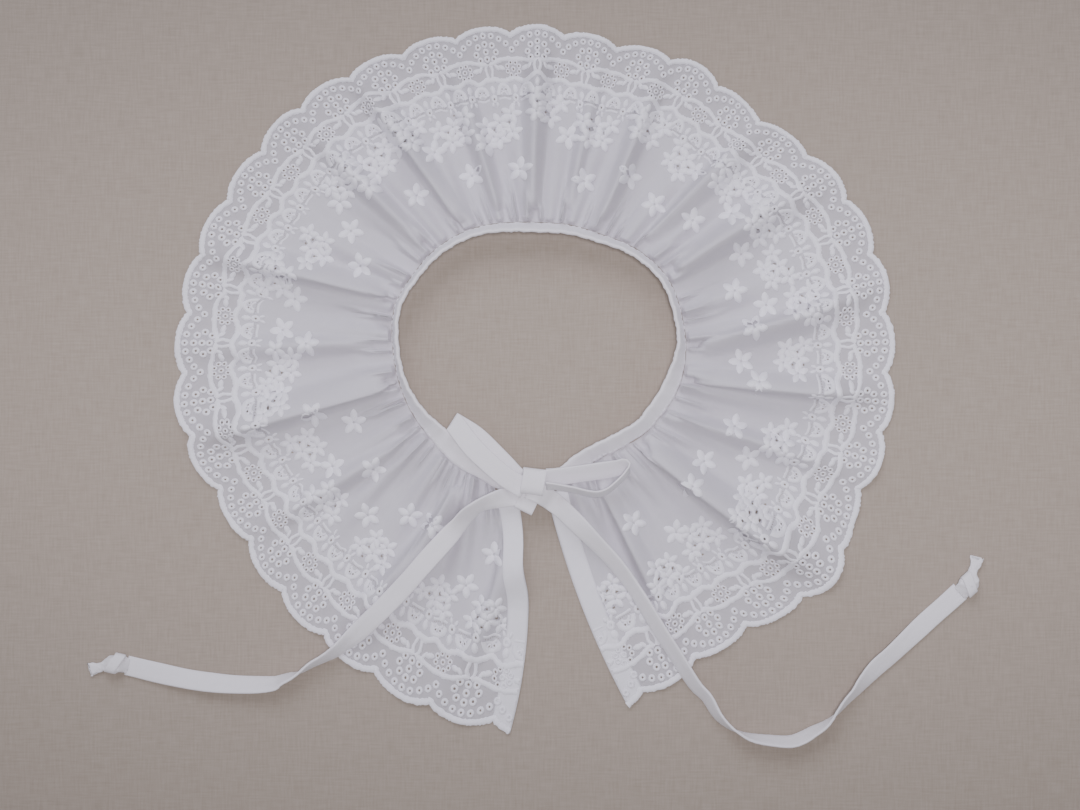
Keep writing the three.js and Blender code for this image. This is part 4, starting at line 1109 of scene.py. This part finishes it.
def make_knot():
    size = KNOT["size"]
    points, faces, uv = ring_of_tape(size[1] / 2 - 0.5, size[2] / 2 - 0.5, size[0] - 0.6, 1.1)
    creases = 0.16 * np.sin(points[:, 0] * 1.5 + points[:, 1] * 0.4) + 0.012 * points[:, 0] ** 2
    points[:, 2] += creases * np.sign(points[:, 2])
    make_piece("bow_knot_wrap", turned(points, KNOT["at"], KNOT["turn"]), faces, TAPE_CLOTH, "bow_knot", uv)
    top, tip = np.array(KNOT_TAB["top"], float), np.array(KNOT_TAB["tip"], float)
    along = unit(tip - top)
    up = np.array([0, 0, 1.0])
    middles = [top + (tip - top) * k / 8 + up * 0.3 * math.sin(k * 0.8) for k in range(9)]
    middles += [tip + along * math.sin(a) * 0.7 + up * (math.cos(a) - 1) * 0.7
                for a in (0.8, 1.6, 2.4, math.pi)]
    middles += [tip + (top - tip) * k / 6 - up * 1.4 for k in range(1, 7)]
    side = np.array([along[1], -along[0], 0])
    points, faces, uv = tape(shift(middles), [side] * len(middles), KNOT_TAB["width"], 0.9, segments=4)
    make_piece("bow_knot_end", points, faces, TAPE_CLOTH, "bow_knot", uv)


# mm past the tie's end, width, height: the crumpled tape inside a small knot and its ragged end
KNOT_CORE = np.array([
    (-1.2, 7.4, 1.5), (0.8, 7.8, 3.2), (3, 8.6, 5.2), (5.6, 8.8, 5.8), (8.4, 7.4, 5), (10.6, 5, 3.4),
    (12.6, 4.4, 2.3), (15, 5, 1.9), (17.4, 6, 1.6), (18.8, 6.6, 1.3),
], dtype=float)


def make_end_knot(name, route, seed):
    """A small overhand knot: a crumpled core, tape wound once round it, and a short ragged end beyond."""
    (x1, y1, _), (x2, y2, _) = route[-2:]
    deg = math.degrees(math.atan2(y2 - y1, x2 - x1))
    rows, around_it = 46, 28
    run = np.linspace(KNOT_CORE[0, 0], KNOT_CORE[-1, 0], rows)
    heading = np.radians(STUB_TURN * smoothstep(3, 9, run))
    step = np.diff(run)
    x = run[0] + np.concatenate([[0], np.cumsum(step * np.cos(heading[1:]))])
    y = np.concatenate([[0], np.cumsum(step * np.sin(heading[1:]))])
    wide, high = read(KNOT_CORE, run, 1), read(KNOT_CORE, run, 2)
    rng = np.random.default_rng(seed)
    points, uv = [], []
    for i in range(rows):
        for k in range(around_it):
            a = 2 * math.pi * k / around_it
            crease = 1 + 0.1 * math.sin(3 * a + run[i] * 0.8 + seed) + 0.07 * math.sin(5 * a - run[i] * 1.3)
            across = math.copysign(abs(math.cos(a)) ** 0.8, math.cos(a)) * wide[i] / 2 * crease
            lift = math.copysign(abs(math.sin(a)) ** 0.8, math.sin(a)) * high[i] / 2 * crease
            ragged = rng.uniform(-1.0, 1.0) if i == rows - 1 else 0
            points.append((x[i] - math.sin(heading[i]) * across + math.cos(heading[i]) * ragged,
                           y[i] + math.cos(heading[i]) * across + math.sin(heading[i]) * ragged,
                           high[i] * 0.56 + 0.4 + lift))
            uv.append((run[i] * 1.2, across + (0 if lift > 0 else 30)))
    end = (x2, y2, 0)
    faces = [f[::-1] for f in tube(rows, around_it)]
    core = make_piece(name + "_tape", turned(points, end, deg), faces, TAPE_CLOTH, name, uv)
    points, faces, uv = ring_of_tape(4.9, 3.0, 5.4, 0.9)
    points = np.column_stack([points[:, 0] + points[:, 1] * 0.32 + 5.4, points[:, 1], points[:, 2] + 3.35])
    return core, make_piece(name + "_wrap", turned(points, end, deg), faces, TAPE_CLOTH, name, uv)


flower_drawing, slot_middles = seen_from_above()
cloth = make_cloth(slot_middles)
stitching = make_embroidery()
border = make_border()
hem_right = make_hem("hem_right_cloth", -HEM_WIDTH, HEM_OVERLAP, "front_hem_right")
hem_left = make_hem("hem_left_cloth", CLOTH_LENGTH + HEM_WIDTH, CLOTH_LENGTH - HEM_OVERLAP, "front_hem_left")
band = make_band()
flowers = make_flowers(flower_drawing, surface_of(cloth))

under = surface_of(cloth, hem_right, hem_left, band)
tie_left, left_path = make_tie("tie_left_tape", LEFT_TIE, "tie_left", under, [(-4, -56, 0)], 10.4)
tie_right, right_path = make_tie("tie_right_tape", RIGHT_TIE, "tie_right", under,
                                 [(-5, -54.6, 0), (0, -56.6, 0)], 13.6)
knots_left = make_end_knot("end_knot_left", LEFT_TIE, 3)
knots_right = make_end_knot("end_knot_right", RIGHT_TIE, 5)
make_left_loop()
make_right_loop()
make_knot()


# Table and light
def make_table():
    bm = bmesh.new()
    bmesh.ops.create_grid(bm, x_segments=2, y_segments=2, size=3)
    mesh = bpy.data.meshes.new("table")
    bm.to_mesh(mesh)
    bm.free()
    mesh.materials.append(table_material())
    show("table", mesh)


def add_light(name, kind, location, power, colour, **settings):
    data = bpy.data.lights.new(name, kind)
    for key, value in settings.items():
        setattr(data, key, value)
    data.energy = power
    data.color = srgb(colour)[:3]
    light = show(name, data)
    light.location = location
    return light


make_table()
window_at = (-0.4, 1.5, 1.5)
window = add_light("window", "AREA", window_at, 24, "eef0ff", shape="RECTANGLE", size=1.6, size_y=1.2)
window.rotation_euler = (-Vector(window_at)).to_track_quat("-Z", "Y").to_euler()
# A soft oval pool of light, brightest at its middle and longer from left to right.
lamp = add_light("lamp", "SPOT", (0.06, 0.0, 2.2), 124, "fcf9ff", spot_size=math.radians(17), spot_blend=1.0,
                 shadow_soft_size=0.16)
lamp.scale = (2.2, 1, 1)
world = bpy.data.worlds.new("soft_room")
world.use_nodes = True
world.node_tree.nodes["Background"].inputs["Color"].default_value = srgb("eef0f4")
world.node_tree.nodes["Background"].inputs["Strength"].default_value = 0.44
bpy.context.scene.world = world
